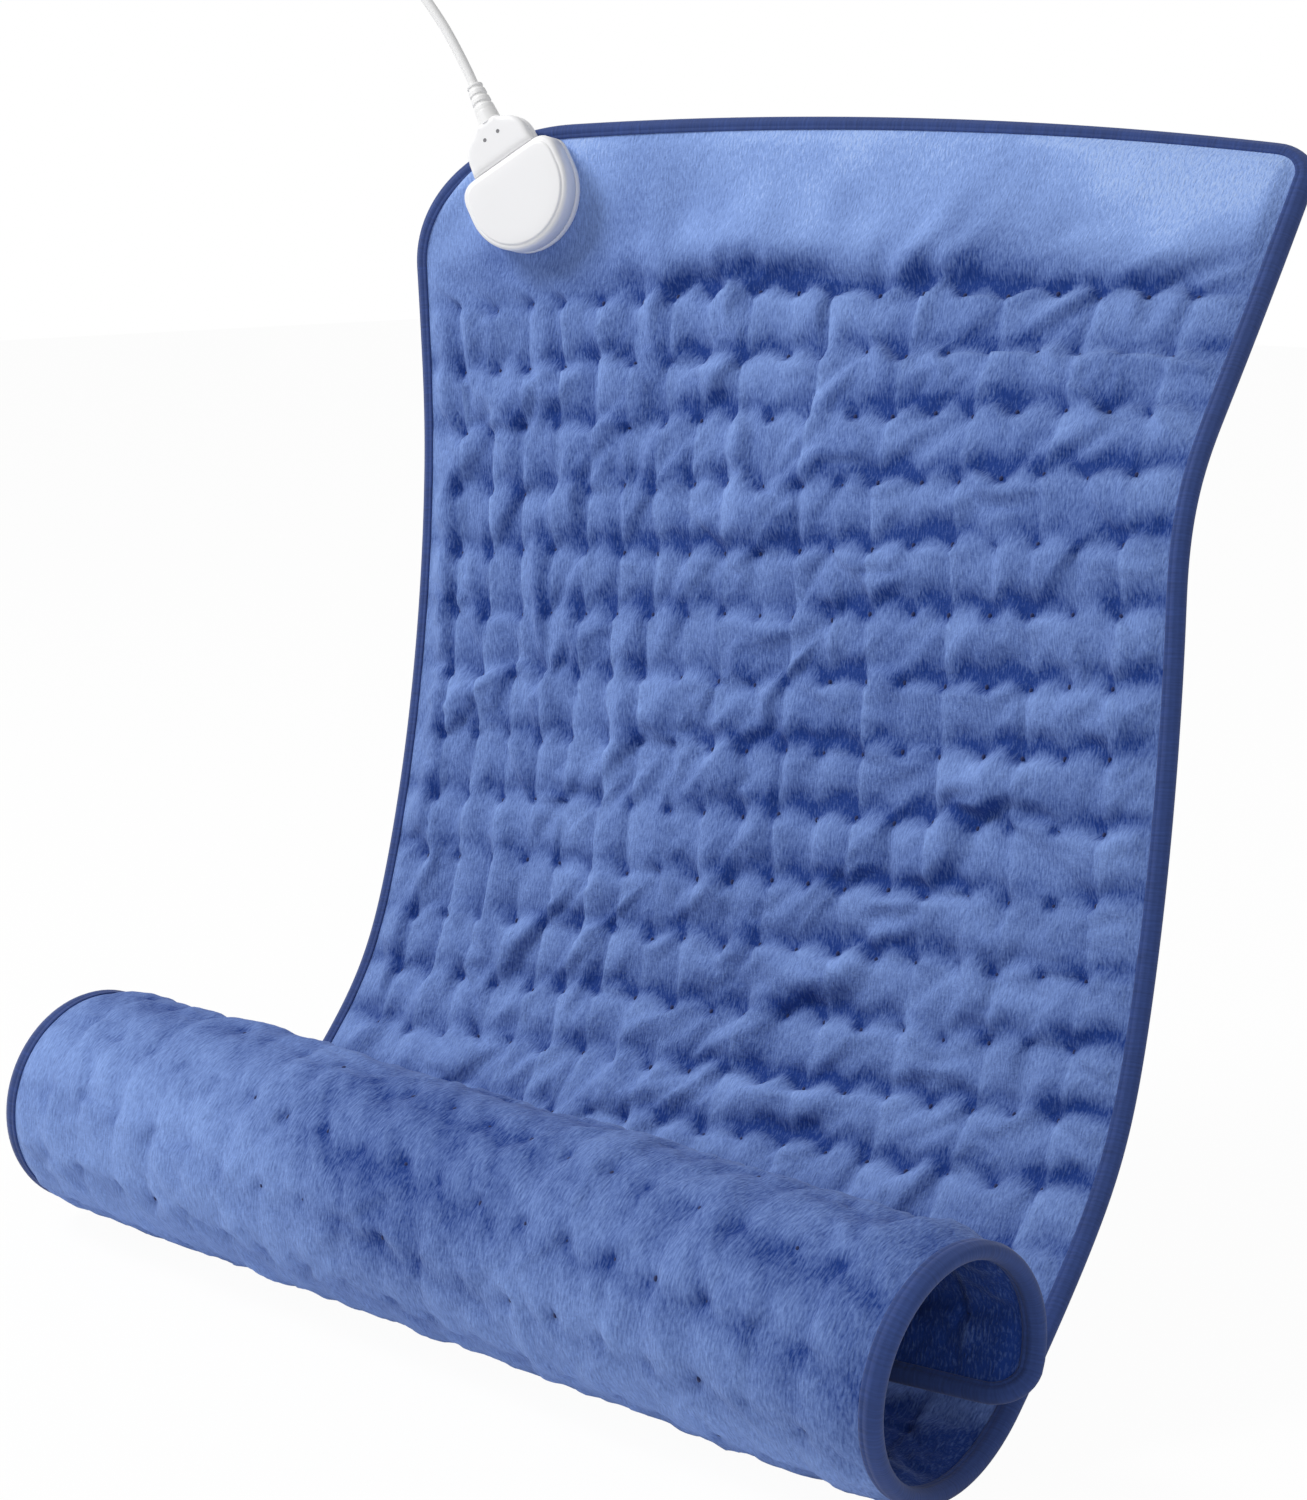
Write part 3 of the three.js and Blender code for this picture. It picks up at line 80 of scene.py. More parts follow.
# Quilting, in millimetres
PITCH_ACROSS = 20.5
PITCH_ALONG = 29.0
FIRST_ROW = 83.0
COLUMNS = 19
ROWS = 26
TUFT_STRAY = (1.3, 1.6)
PIT_RADIUS = 1.9
KNOT_SIZE = (0.85, 1.2, 0.7)
KNOT_RAISE = 0.2
TAPE_STEP = 3.0
EDGE = 2.4
BAND = 4.4
LOWEST = 1.7
RIM_FADE = (4.5, 8.0)
FRONT_SEED = 20
BACK_SEED = 60

# Settling of the cloth: held rim in millimetres, frames of the run and the push outwards and down
HELD_RIM = 10.0
DRAWN_FRAME = 14
LAST_FRAME = 19
PUSH = (0.0, -3.0, 7.0)

# Where the look changes along the pad: start and length of each fade, in millimetres
PLAIN_FADE = (48.0, 24.0)
# The band highlight fade ends the painted highlight of the top band.
BAND_HIGHLIGHT_FADE = (52.0, 26.0)
# The inside fade starts the painted shade inside the roll.
INSIDE_SHADE_FADE = (548.0, 45.0)
ROLL_FADE = (560.0, 60.0)
CROWN_FADE = (648.0, 45.0)

# Felt and heating wire inside the pad, in millimetres
FELT_HALF = 183.0
FELT_TOP = 30.0
FELT_END = 11.0
FELT_GRID = (170, 60)
FELT_LEVELS = (-0.2, -1.3)
WIRE_LINES = (-129.0, -43.0, 43.0, 129.0)
WIRE_RUN = (112.0, 721.0)
WIRE_TOP = 83.0
WIRE_BACK = -115.0
WIRE_LEVEL = 0.55
WIRE_RADIUS = 0.45

# Connector, in millimetres
DOCK_ACROSS = 67.0 - HALF_PAD
DOCK_ALONG = 30.0
DOCK_TURN = math.radians(28.0)
DOCK_HALF = 27.5
DOCK_MOUTH = 16.0
MOUTH_HALF = 18.0
DOCK_CORNER = 10.0
TONGUE_MIDDLE = 8.1
PLUG_START = 16.5
PLUG_SHOULDER = 25.5
PLUG_END = 37.0
PLUG_HALF = 17.8
PLUG_CROWN = 10.5
PLUG_NECK = 6.0
PLUG_DEPTH = 5.0
DIMPLE_ALONG = 29.0
DIMPLE_ACROSS = 4.0
RELIEF_TIP = 57.3
RELIEF_RADII = (5.6, 3.9)
RELIEF_RIBS = 5
DOCK_MIDDLE = (0.0, -4.0)
PLUG_MIDDLE = (0.0, 27.0)

# Cords, in millimetres; heights are above the floor
LEAD_INSIDE = 31.0
LEAD_STRAIGHT = 8.0
LEAD_ROUTE = [
    (-192.5, -55.5, 538), (-212.5, -59, 560), (-236, -73, 582), (-261, -97, 600),
    (-288, -130, 610), (-313, -168, 606), (-334, -204, 586), (-351, -232, 548), (-362, -246, 490),
    (-369, -253, 400), (-374, -257, 300), (-378, -260, 200), (-380, -261, 110), (-380, -262, 60),
    (-380, -263.5, 40), (-380, -268, 27), (-380, -275, 18),
    (-380, -283, 12.65), (-380, -291, 12.15), (-380, -320, 12.15),
]
MAINS_START = [
    (-380, -452, 12.15), (-380, -481, 12.15), (-380, -489, 11.35), (-377, -501, 8), (-370, -510, 5),
    (-357.6, -514, 3.8), (-345.2, -510, 3.8), (-337.2, -499, 3.8), (-335.2, -460, 3.8),
    (-335.2, -420, 3.8), (-335.2, -400.3, 3.8),
]
MAINS_FINISH = [
    (-264.8, -400.3, 9.1), (-264.8, -412, 9.1), (-264.8, -433.7, 9), (-264.8, -461, 9),
]
COIL_CENTRE = (-300.0, -400.0)
COIL_INNER = 14.0
COIL_PITCH = 5.3
COIL_TURNS = 4
COIL_DIP = 1.4
COIL_BOTTOM = 3.8

# Moulded and metal finishes: colour, roughness, metallic and coat
FINISHES = {
    # Dimple: dark grey of the cups that stand in for the plug's pin holes, painted shade of the holes.
    "dimple": ((0.2, 0.2, 0.21), 0.6, 0.0, 0.0),
    "wire_sleeve": ((0.55, 0.22, 0.15), 0.5, 0.0, 0.0),
    "steel": ((0.60, 0.61, 0.63), 0.3, 1.0, 0.0),
    "dark_plastic": ((0.03, 0.032, 0.036), 0.5, 0.0, 0.0),
    "board": ((0.03, 0.15, 0.06), 0.55, 0.0, 0.0),
    "lens": ((0.012, 0.015, 0.02), 0.12, 0.0, 0.6),
    "keys": ((0.09, 0.13, 0.39), 0.48, 0.0, 0.0),
}

# Finishes by name: the white ones come with the frame, and the others are added as they are made
MADE = {name: bpy.data.materials[name] for name in ("white_shell", "white_cord")}

# Stage: half side of the floor and its drop below the part in metres, and its share of plain white
FLOOR_HALF = 6.0
FLOOR_DROP = 0.0002
FLOOR_GLOW = 0.965
LAMP_TARGET = (0.0, -0.15, -0.25)


def smooth(t):
    """Rises from 0 to 1 with level ends: three times the square less twice the cube."""
    t = np.clip(t, 0.0, 1.0)
    return t * t * (3.0 - 2.0 * t)


def past(s, fade):
    """Smooth step along a fade that is given by its start and length."""
    return smooth((s - fade[0]) / fade[1])


def lattice_noise(x, y, cell_x, cell_y, seed):
    """Value noise: random numbers on a lattice, blended with the smooth step between its points."""
    cells = 128
    offset = 400.0
    values = np.random.default_rng(seed).random((cells, cells))
    gx = np.asarray(x) / cell_x + offset
    gy = np.asarray(y) / cell_y + offset
    ix = np.floor(gx).astype(int)
    iy = np.floor(gy).astype(int)
    tx = smooth(gx - ix)
    ty = smooth(gy - iy)
    left, right = ix % cells, (ix + 1) % cells
    below, above = iy % cells, (iy + 1) % cells
    low = values[below, left] * (1 - tx) + values[below, right] * tx
    high = values[above, left] * (1 - tx) + values[above, right] * tx
    return low * (1 - ty) + high * ty


def along_line(u, cell, seed):
    """Noise that changes across the pad only, between -0.5 and 0.5."""
    return lattice_noise(u, 0 * u, cell, 50, seed) - 0.5


def slow_noise(u, s, side):
    """Slow waves of one cover, between -0.5 and 0.5, and the seed of that cover."""
    seed = FRONT_SEED if side > 0 else BACK_SEED
    return lattice_noise(u, s, 80, 100, seed) - 0.5, seed


def knee_lean(arc):
    """Smooth curve through the lean knots: a cubic between each pair with slopes from the neighbours."""
    at = np.clip(arc, LEAN_ARC[0], LEAN_ARC[-1])
    last = len(LEAN_ARC) - 1
    below = np.maximum(np.arange(last + 1) - 1, 0)
    above = np.minimum(np.arange(last + 1) + 1, last)
    slope = (LEAN_DEGREES[above] - LEAN_DEGREES[below]) / (LEAN_ARC[above] - LEAN_ARC[below])
    i = np.clip(np.searchsorted(LEAN_ARC, at, side="left") - 1, 0, last - 1)
    h = LEAN_ARC[i + 1] - LEAN_ARC[i]
    t = (at - LEAN_ARC[i]) / h
    start = (1 + 2 * t) * (1 - t) ** 2 * LEAN_DEGREES[i] + t * (1 - t) ** 2 * h * slope[i]
    end = t * t * (3 - 2 * t) * LEAN_DEGREES[i + 1] + t * t * (t - 1) * h * slope[i + 1]
    return start + end


def lean_at(arc, across):
    """Lean from the vertical in radians: a twisted top fades into the knots, then a spiral is added."""
    top = TOP_LEAN + TOP_TWIST * across / HALF_PAD
    fade = 1 - past(arc, TOP_FADE)
    span = ROLL_FULL - ROLL_START
    w = np.maximum(0, (np.minimum(arc, ROLL_STOP) - ROLL_START) / span)
    rise = 1 / ROLL_LAST - 1 / ROLL_FIRST
    roll = span * (w / ROLL_FIRST + rise * w * w / 2)
    return np.radians(top * fade + knee_lean(arc) * (1 - fade)) + roll


ARC_STEP = 2.0
ARC_FIRST = -60.0
ARC_COUNT = 490
LINE_STEP = 10.0
LINE_FIRST = -290.0
LINE_COUNT = 59


def surface_table():
    """Heights and depths of the middle surface, summed along each line from the anchor under the roll."""
    arcs = ARC_FIRST + ARC_STEP * np.arange(ARC_COUNT)
    lines = LINE_FIRST + LINE_STEP * np.arange(LINE_COUNT)
    lean = lean_at(arcs[None, :], lines[:, None])
    table = np.zeros((3, LINE_COUNT, ARC_COUNT))
    for row, wave in ((0, np.sin(lean)), (1, np.cos(lean))):
        table[row, :, 1:] = -np.cumsum((wave[:, 1:] + wave[:, :-1]) / 2 * ARC_STEP, axis=1)
        base = int(round((ANCHOR - ARC_FIRST) / ARC_STEP))
        table[row] -= table[row][:, base:base + 1]
    table[2] = lean
    return table


SURFACE = surface_table()


def surface_raw(u, s):
    """Place and lean of the middle surface at a distance across and a distance along the pad."""
    u, s = np.broadcast_arrays(np.asarray(u, float), np.asarray(s, float))
    across = u * math.cos(TURN) + (s - TURN_CENTRE) * math.sin(TURN)
    arc = TURN_CENTRE + (s - TURN_CENTRE) * math.cos(TURN) - u * math.sin(TURN)
    a = np.clip((arc - ARC_FIRST) / ARC_STEP, 0, ARC_COUNT - 1.001)
    b = np.clip((across - LINE_FIRST) / LINE_STEP, 0, LINE_COUNT - 1.001)
    k = a.astype(int)
    m = b.astype(int)
    w = a - k
    t = b - m
    near = SURFACE[:, m, k] * (1 - w) + SURFACE[:, m, k + 1] * w
    far = SURFACE[:, m + 1, k] * (1 - w) + SURFACE[:, m + 1, k + 1] * w
    y, z, lean = near * (1 - t) + far * t
    shift = ROLL_SHIFT * past(s, SHIFT_FADE) * (1 - u / HALF_PAD) / 2
    return across - shift, y, z, lean


ORIGIN = [float(value) for value in surface_raw(0.0, 0.0)[:3]]


def pad_point(u, s, h):
    """Point in metres at a distance across, a distance along and a height above the middle surface."""
    x, y, z, lean = surface_raw(u, s)
    point = np.stack([
        x - ORIGIN[0] + np.zeros_like(lean),
        y - ORIGIN[1] - h * np.cos(lean),
        z - ORIGIN[2] + h * np.sin(lean),
    ], axis=-1)
    return point * MM


def corner_cut(s, across, along):
    """How far an elliptical corner draws the side in at a distance from its end."""
    rise = np.clip((along - s) / along, 0, 1)
    return across * (1 - np.sqrt(1 - rise * rise))


def left_limit(s):
    """Left side of the pad, with its wide rounded corner at the connector."""
    return (-HALF_PAD + corner_cut(s, CORNER_ACROSS, CORNER_ALONG)
            + corner_cut(PAD_LENGTH - s, PLAIN_CORNER, PLAIN_CORNER))


def right_limit(s):
    """Right side of the pad, with two small corners."""
    return (HALF_PAD - corner_cut(s, PLAIN_CORNER, PLAIN_CORNER)
            - corner_cut(PAD_LENGTH - s, PLAIN_CORNER, PLAIN_CORNER))


def tuft_places():
    """Across and along places of the sewn tufts, each a little off its grid point."""
    stray = np.random.default_rng(11).uniform(-1, 1, (2, ROWS, COLUMNS))
    across = (np.arange(COLUMNS) - (COLUMNS - 1) / 2) * PITCH_ACROSS
    along = FIRST_ROW + np.arange(ROWS) * PITCH_ALONG
    return across[None, :] + TUFT_STRAY[0] * stray[0], along[:, None] + TUFT_STRAY[1] * stray[1]


TUFT_U, TUFT_S = tuft_places()
COLUMN_STRENGTH = np.where(np.arange(COLUMNS) % 2 == 0, 1.1, 0.2)


def tuft_lines(u, s):
    """Distances from the nearest tuft column and row, each a line that wanders through its own tufts.

    Also returns the number of that column."""
    i = np.clip(np.rint(u / PITCH_ACROSS + (COLUMNS - 1) / 2), 0, COLUMNS - 1).astype(int)
    j = np.clip(np.rint((s - FIRST_ROW) / PITCH_ALONG), 0, ROWS - 1).astype(int)
    row = np.clip((s - FIRST_ROW) / PITCH_ALONG, 0, ROWS - 1.001)
    column = np.clip(u / PITCH_ACROSS + (COLUMNS - 1) / 2, 0, COLUMNS - 1.001)
    k = row.astype(int)
    m = column.astype(int)
    w = smooth(row - k)
    t = smooth(column - m)
    line_u = TUFT_U[k, i] * (1 - w) + TUFT_U[k + 1, i] * w
    line_s = TUFT_S[j, m] * (1 - t) + TUFT_S[j, m + 1] * t
    return u - line_u, s - line_s, i


def grid_faces(rows, columns, first=0, wrap=False, flip=False):
    """Four-cornered faces of a grid numbered row by row; wrap joins its last column to its first."""
    r = np.arange(rows - 1)[:, None]
    c = np.arange(columns if wrap else columns - 1)[None, :]
    n = (c + 1) % columns
    a = first + r * columns + c
    b = first + r * columns + n
    d = first + (r + 1) * columns + c
    e = first + (r + 1) * columns + n
    order = (a, d, e, b) if flip else (a, b, e, d)
    return np.stack(order, axis=-1).reshape(-1, 4)


def closed_sheet(rows, columns):
    """Faces of two grids of points, numbered one after the other, that are joined all round by a rim."""
    count = rows * columns
    index = np.arange(count).reshape(rows, columns)
    loop = np.concatenate([index[0, :-1], index[:-1, -1], index[-1, :0:-1], index[:0:-1, 0]])
    after = np.roll(loop, -1)
    rim = np.column_stack([loop, after, after + count, loop + count])
    return np.vstack([grid_faces(rows, columns, flip=True), grid_faces(rows, columns, count), rim])


def spline_weights(places, count):
    """Matrix of cubic weights that carries values on an even grid of points to places from 0 to 1."""
    at = np.clip(places, 0, 1) * (count - 1)
    cell = np.clip(np.floor(at).astype(int), 0, count - 2)
    t = at - cell
    weights = np.zeros((len(places), count))
    parts = (
        (2 * t ** 2 - t ** 3 - t) / 2, (3 * t ** 3 - 5 * t ** 2 + 2) / 2,
        (4 * t ** 2 - 3 * t ** 3 + t) / 2, (t ** 3 - t ** 2) / 2)
    for shift, part in zip((-1, 0, 1, 2), parts):
        np.add.at(weights, (np.arange(len(places)), np.clip(cell + shift, 0, count - 1)), part)
    return weights


def cut_large(u, s, settings):
    """Flat places of a cover that is cut too large: sums of its growth, mostly across on the left side.

    The plain band along the top has little growth."""
    left = np.clip((120 - u) / 240, 0, 1)
    field = 0.12 + 0.88 * smooth((s - 55) / 35)
    grow_u = 1 + settings.slack_across * (0.4 + 0.6 * left) * field
    grow_s = 1 + settings.slack_along * (1.1 - 0.5 * left) * field
    steps_u = np.diff(u, axis=1) * (grow_u[:, 1:] + grow_u[:, :-1]) / 2
    steps_s = np.diff(s, axis=0) * (grow_s[1:] + grow_s[:-1]) / 2
    wide_u = np.hstack([0 * u[:, :1], np.cumsum(steps_u, axis=1)])
    wide_s = np.vstack([0 * s[:1], np.cumsum(steps_s, axis=0)])
    middle = u.shape[1] // 2
    return wide_u - wide_u[:, middle:middle + 1], wide_s


def settled_cloth(settings):
    """Settles one cover as cloth: cut too large, it is drawn in at its rim and tufts while it is pushed out.

    Returns the moves across and along and the height of each grid point, in millimetres, as three arrays."""
    columns = int(round(2 * HALF_PAD / settings.cloth_spacing * MM)) + 1
    rows = int(round(PAD_LENGTH / settings.cloth_spacing * MM)) + 1
    u = np.linspace(-HALF_PAD, HALF_PAD, columns)[None, :] + np.zeros((rows, 1))
    s = np.linspace(0, PAD_LENGTH, rows)[:, None] + np.zeros((1, columns))
    rim = np.minimum(np.minimum(u + HALF_PAD, HALF_PAD - u), np.minimum(s, PAD_LENGTH - s))
    i = np.rint((TUFT_U + HALF_PAD) / (2 * HALF_PAD) * (columns - 1)).astype(int)
    j = np.rint(TUFT_S / PAD_LENGTH * (rows - 1)).astype(int)
    held = rim < HELD_RIM
    held[j, i] = True
    end_u = u.copy()
    end_s = s.copy()
    end_u[j, i] = TUFT_U
    end_s[j, i] = TUFT_S
    height = EDGE + 1.2 * np.clip((rim - HELD_RIM) / 10, 0, 1)
    height = height + 0.25 * np.random.default_rng(5).standard_normal(u.shape)
    height[j, i] = EDGE
    wide_u, wide_s = cut_large(u, s, settings)
    first = np.stack([wide_u, -wide_s, height], axis=-1).reshape(-1, 3) * MM
    last = np.stack([end_u, -end_s, height], axis=-1).reshape(-1, 3) * MM
    mesh = bpy.data.meshes.new("settling")
    mesh.from_pydata(first, [], grid_faces(rows, columns, flip=True))
    sheet = linked("settling", mesh)
    pins = sheet.vertex_groups.new(name="pins")
    pins.add(np.flatnonzero(held).tolist(), 1.0, "REPLACE")
    sheet.shape_key_add(name="Basis")
    drawn = sheet.shape_key_add(name="drawn")
    drawn.data.foreach_set("co", last.astype(np.float32).ravel())
    drawn.value = 0.0
    drawn.keyframe_insert("value", frame=1)
    drawn.value = 1.0
    drawn.keyframe_insert("value", frame=DRAWN_FRAME)
    cloth = sheet.modifiers.new("cloth", "CLOTH")
    facts = cloth.settings
    facts.vertex_group_mass = "pins"
    facts.quality = 6
    facts.mass = 0.004
    facts.tension_stiffness = 25
    facts.compression_stiffness = 12
    facts.shear_stiffness = 6
    facts.bending_stiffness = settings.stiffness
    facts.air_damping = 2
    cloth.collision_settings.use_collision = False
    scene = bpy.context.scene
    kept = tuple(scene.gravity)
    scene.gravity = PUSH
    for number in range(1, LAST_FRAME + 1):
        scene.frame_set(number)
    settled = sheet.evaluated_get(bpy.context.evaluated_depsgraph_get()).data
    place = np.zeros(len(first) * 3, np.float32)
    settled.vertices.foreach_get("co", place)
    place = place.reshape(rows, columns, 3) / MM
    scene.gravity = kept
    scene.frame_set(1)
    bpy.data.objects.remove(sheet)
    bpy.data.meshes.remove(mesh)
    return place[..., 0] - u, -place[..., 1] - s, place[..., 2]


def quilting(u, s, side):
    """Relief of the sewn grid in millimetres: pleats along the columns, sags along the rows, and tuft pits.

    A pleat has a steep side on its line: high just past the line and low just before it, both fading.
    A sag is a soft valley above its row that dips at each tuft, with a crest below."""
    seed = FRONT_SEED if side > 0 else BACK_SEED
    du, ds, column = tuft_lines(u, s)
    from_line = smooth(np.abs(du) / (PITCH_ACROSS / 2))
    field = past(s, (FIRST_ROW - 9, 10))
    leftward = smooth((60 - u) / 180)
    columns = COLUMN_STRENGTH[column] * (1 - leftward) + leftward
    columns = columns * (0.25 + 1.3 * lattice_noise(u, s, 40, 55, seed + 2)) * field
    rows = (1.35 - 0.6 * leftward) * (0.22 + 1.4 * lattice_noise(u, s, 24, 40, seed + 3)) * field
    step = smooth((du + 0.9) / 1.8)
    near_row = np.exp(-((ds + 5) / 8) ** 2)
    low = np.exp(np.minimum(du, 0) / 4.8) * (1 - step) * (0.55 + 0.45 * near_row)
    pleat = 0.8 * np.exp(-np.maximum(du, 0) / 6.0) * step - 1.7 * low
    dip = ds + 3.2 + 3.0 * from_line + 2.5 * (lattice_noise(u, s, 9, 12, seed + 5) - 0.5)
    sag = 0.5 * np.exp(-((ds - 7) / 7) ** 2) - 2.0 * np.exp(-(dip / 4.8) ** 2)
    pit = np.exp(-(du ** 2 + ds ** 2) / (2 * PIT_RADIUS ** 2)) * past(s, (FIRST_ROW - 20, 12))
    firm, deep = (1.0, 1.8) if side > 0 else (0.4, 1.4)
    return firm * columns * pleat, firm * rows * sag, deep * pit


def cover_height(u, s, side, settled):
    """Height of one cover above the middle surface.

    The settled cloth rests on the padding, which rounds off its lowest valleys, and the sewn grid is added.
    The smooth band above the first row of the front ends in a lip with a scalloped trough below, and lies
    flat under the dock. The back has small ripples."""
    slow = slow_noise(u, s, side)[0]
    pleat, sag, pit = quilting(u, s, side)
    padding = 1.9
    softness = 0.7
    puff = padding + softness * np.log1p(np.exp((settled - padding) / softness))
    puff = puff if side > 0 else 3.2 + 0.5 * (puff - 2.4)
    height = puff + slow + 1.1 + pleat + sag - pit
    if side > 0:
        drape = lattice_noise(0.55 * u + 0.8 * s, 0.8 * u - 0.55 * s, 24, 75, 33) - 0.5
        pucker = along_line(u, 8, 35) * np.exp(-s / 16)
        top_band = 3.9 + 1.4 * slow + 3.6 * drape + 1.4 * pucker
        height = height + (1 - past(s, PLAIN_FADE)) * 0.8 * (top_band - height)
        reach, lip, trough = first_fold(u, s)
        height = height + reach * (4.2 * lip - 3.2 * trough)
        dock = pad_point(u, s, BAND) - pad_point(DOCK_ACROSS, DOCK_ALONG, BAND)
        near = 1 - smooth((np.linalg.norm(dock, axis=-1) / MM - 25) / 14)
        height = height + near * (BAND - 0.2 - height)
    else:
        height = height + 1.3 * roll_ripple(u, s)
    rim = np.minimum(np.minimum(u - left_limit(s), right_limit(s) - u), np.minimum(s, PAD_LENGTH - s))
    return EDGE + (np.maximum(height, LOWEST) - EDGE) * past(rim, RIM_FADE)


def roll_ripple(u, s):
    """Small slanted ripples of the back cover, between -0.5 and 0.5."""
    return lattice_noise(0.8 * u + 0.6 * s, 0.6 * u - 0.8 * s, 4.5, 12, 63) - 0.5


def first_fold(u, s):
    """The fold over the first tuft row: how far it reaches, its lip above and its scalloped trough below."""
    wander = along_line(u, 26, 27) + 0.5
    reach = smooth((u + 130) / 80) * (1 - smooth((u - 158) / 36)) * (0.75 + 0.4 * wander)
    edge = 69 + 8 * along_line(u, 34, 29) + 6 * along_line(u, 11, 31)
    from_line = smooth(np.abs(tuft_lines(u, s)[0]) / (PITCH_ACROSS / 2))
    scallop = 83.5 - (3.5 + 5.5 * wander) * from_line
    top = s - edge + 6
    lip = np.exp(-(top / np.where(top < 0, 18.0, 8.0)) ** 2)
    trough = smooth((s - edge) / 8) * (1 - smooth((s - scallop + 2.0) / 4.5))
    return reach, lip, trough


def softened(field):
    """Field averaged with its neighbours, three points along each direction."""
    wide = np.pad(field, 1, mode="edge")
    across = (wide[:, :-2] + 2 * wide[:, 1:-1] + wide[:, 2:]) / 4
    return (across[:-2] + 2 * across[1:-1] + across[2:]) / 4


def cover_nap_and_shade(u, s, side, height):
    """Tone from dark to light: slow random patches of nap, painted light on slopes that face up and to the
    left, painted shade in valleys and tuft pits.

    On the front the band above the first row gets a painted highlight, and the trough below it and the inside
    of the roll get painted shade. On the back the crown of the roll is darker than its lower front."""
    slow, seed = slow_noise(u, s, side)
    patch = lattice_noise(u, s, 15, 19, seed + 1)
    pleat, sag, pit = quilting(u, s, side)
    step_u = 2 * HALF_PAD / (u.shape[1] - 1)
    step_s = PAD_LENGTH / (u.shape[0] - 1)
    # Painted light and shade: slopes that face up and to the left, towards the key lamp, are made lighter and
    # slopes that face away darker; the tuft pits get painted shade.
    soft = softened(softened(height))
    lamp_facing = 0.8 * np.gradient(soft, axis=1) / step_u + 0.6 * np.gradient(soft, axis=0) / step_s
    mottle, gain = (0.13, 0.36) if side > 0 else (0.1, 0.22)
    nap_and_shade = 0.405 + 0.16 * slow + mottle * (patch - 0.5) + 0.05 * past(s, (300, 150))
    nap_and_shade = nap_and_shade + gain * (np.clip(lamp_facing, -0.9, 0.6) - 0.55 * pit)
    # Painted shade in the valleys just left of each column line and just above each row, with painted light
    # on the crests past them.
    nap_and_shade = nap_and_shade + (0.11 + 0.06 * patch) * pleat + 0.12 * sag
    if side > 0:
        reach, lip, trough = first_fold(u, s)
        # Painted highlight on the top band: it is made much lighter than the quilted sheet and lighter
        # towards the right, with painted light on slopes that face the lamp and on the lip, and darker
        # towards its lower edge above the fold.
        top_band = 0.80 + 0.5 * slow + 0.16 * (patch - 0.5) + 0.20 * past(u, (-110, 170)) + 0.9 * lamp_facing
        top_band = top_band + 0.06 * lip * reach - 0.42 * past(s, (12, 56))
        nap_and_shade = nap_and_shade + (1 - past(s, BAND_HIGHLIGHT_FADE)) * (top_band - nap_and_shade)
        # Painted shadow in the trough under the fold's lip, and painted shade inside the roll.
        nap_and_shade = nap_and_shade - 0.36 * reach * trough - 0.62 * past(s, INSIDE_SHADE_FADE)
    else:
        crown = past(s + 0.06 * u - 40 * slow, CROWN_FADE)
        ripple = 0.11 * (0.8 + crown) * roll_ripple(u, s)
        nap_and_shade = nap_and_shade + past(s, ROLL_FADE) * (0.13 - 0.30 * crown + ripple)
    return np.clip(nap_and_shade, 0.0, 1.0)


def linked(name, data):
    """New object with its data, linked to the scene."""
    made = bpy.data.objects.new(name, data)
    bpy.context.scene.collection.objects.link(made)
    return made


def mesh_piece(name, points, faces, sharp=40.0, uv=None, nap_and_shade=None):
    """Mesh object from whole arrays of points and four-cornered faces, smooth shaded, linked to the scene."""
    mesh = bpy.data.meshes.new(name)
    mesh.vertices.add(len(points))
    mesh.vertices.foreach_set("co", np.ascontiguousarray(points, np.float32).ravel())
    faces = np.asarray(faces)
    mesh.loops.add(faces.size)
    mesh.loops.foreach_set("vertex_index", faces.ravel().astype(np.int32))
    mesh.polygons.add(len(faces))
    mesh.polygons.foreach_set("loop_start", (np.arange(len(faces)) * 4).astype(np.int32))
    mesh.update(calc_edges=True)
    mesh.polygons.foreach_set("use_smooth", np.ones(len(faces), bool))
    mesh.set_sharp_from_angle(angle=math.radians(sharp))
    if uv is not None:
        layer = mesh.uv_layers.new(name="weave")
        layer.data.foreach_set("uv", uv[faces.ravel()].astype(np.float32).ravel())
    # Per-point tone of the cloth: random nap patches together with painted light and shade.
    if nap_and_shade is not None:
        attribute = mesh.attributes.new("nap_and_shade", "FLOAT", "POINT")
        attribute.data.foreach_set("value", nap_and_shade.astype(np.float32))
    mesh.validate()
    return linked(name, mesh)


def catmull_rom(points, per_span):
    """Centripetal curve through points: each span is a cubic with knots spaced by the root of distance."""
    p = np.asarray(points, float)
    p = np.vstack([2 * p[0] - p[1], p, 2 * p[-1] - p[-2]])
    out = []
    for i in range(1, len(p) - 2):
        a, b, c, d = p[i - 1:i + 3]
        k = [0.0]
        for first, second in ((a, b), (b, c), (c, d)):
            k.append(k[-1] + math.sqrt(np.linalg.norm(second - first)))
        t = np.linspace(k[1], k[2], per_span, endpoint=False)[:, None]
        ab = (k[1] - t) / (k[1] - k[0]) * a + (t - k[0]) / (k[1] - k[0]) * b
        bc = (k[2] - t) / (k[2] - k[1]) * b + (t - k[1]) / (k[2] - k[1]) * c
        cd = (k[3] - t) / (k[3] - k[2]) * c + (t - k[2]) / (k[3] - k[2]) * d
        left = (k[2] - t) / (k[2] - k[0]) * ab + (t - k[0]) / (k[2] - k[0]) * bc
        right = (k[3] - t) / (k[3] - k[1]) * bc + (t - k[1]) / (k[3] - k[1]) * cd
        out.append((k[2] - t) / (k[2] - k[1]) * left + (t - k[1]) / (k[2] - k[1]) * right)
    out.append(p[-2:-1])
    return np.vstack(out)


def on_floor(points):
    """Points given with heights above the floor, as points of the frame in millimetres."""
    return np.asarray(points, float) + np.array([0.0, 0.0, FLOOR])


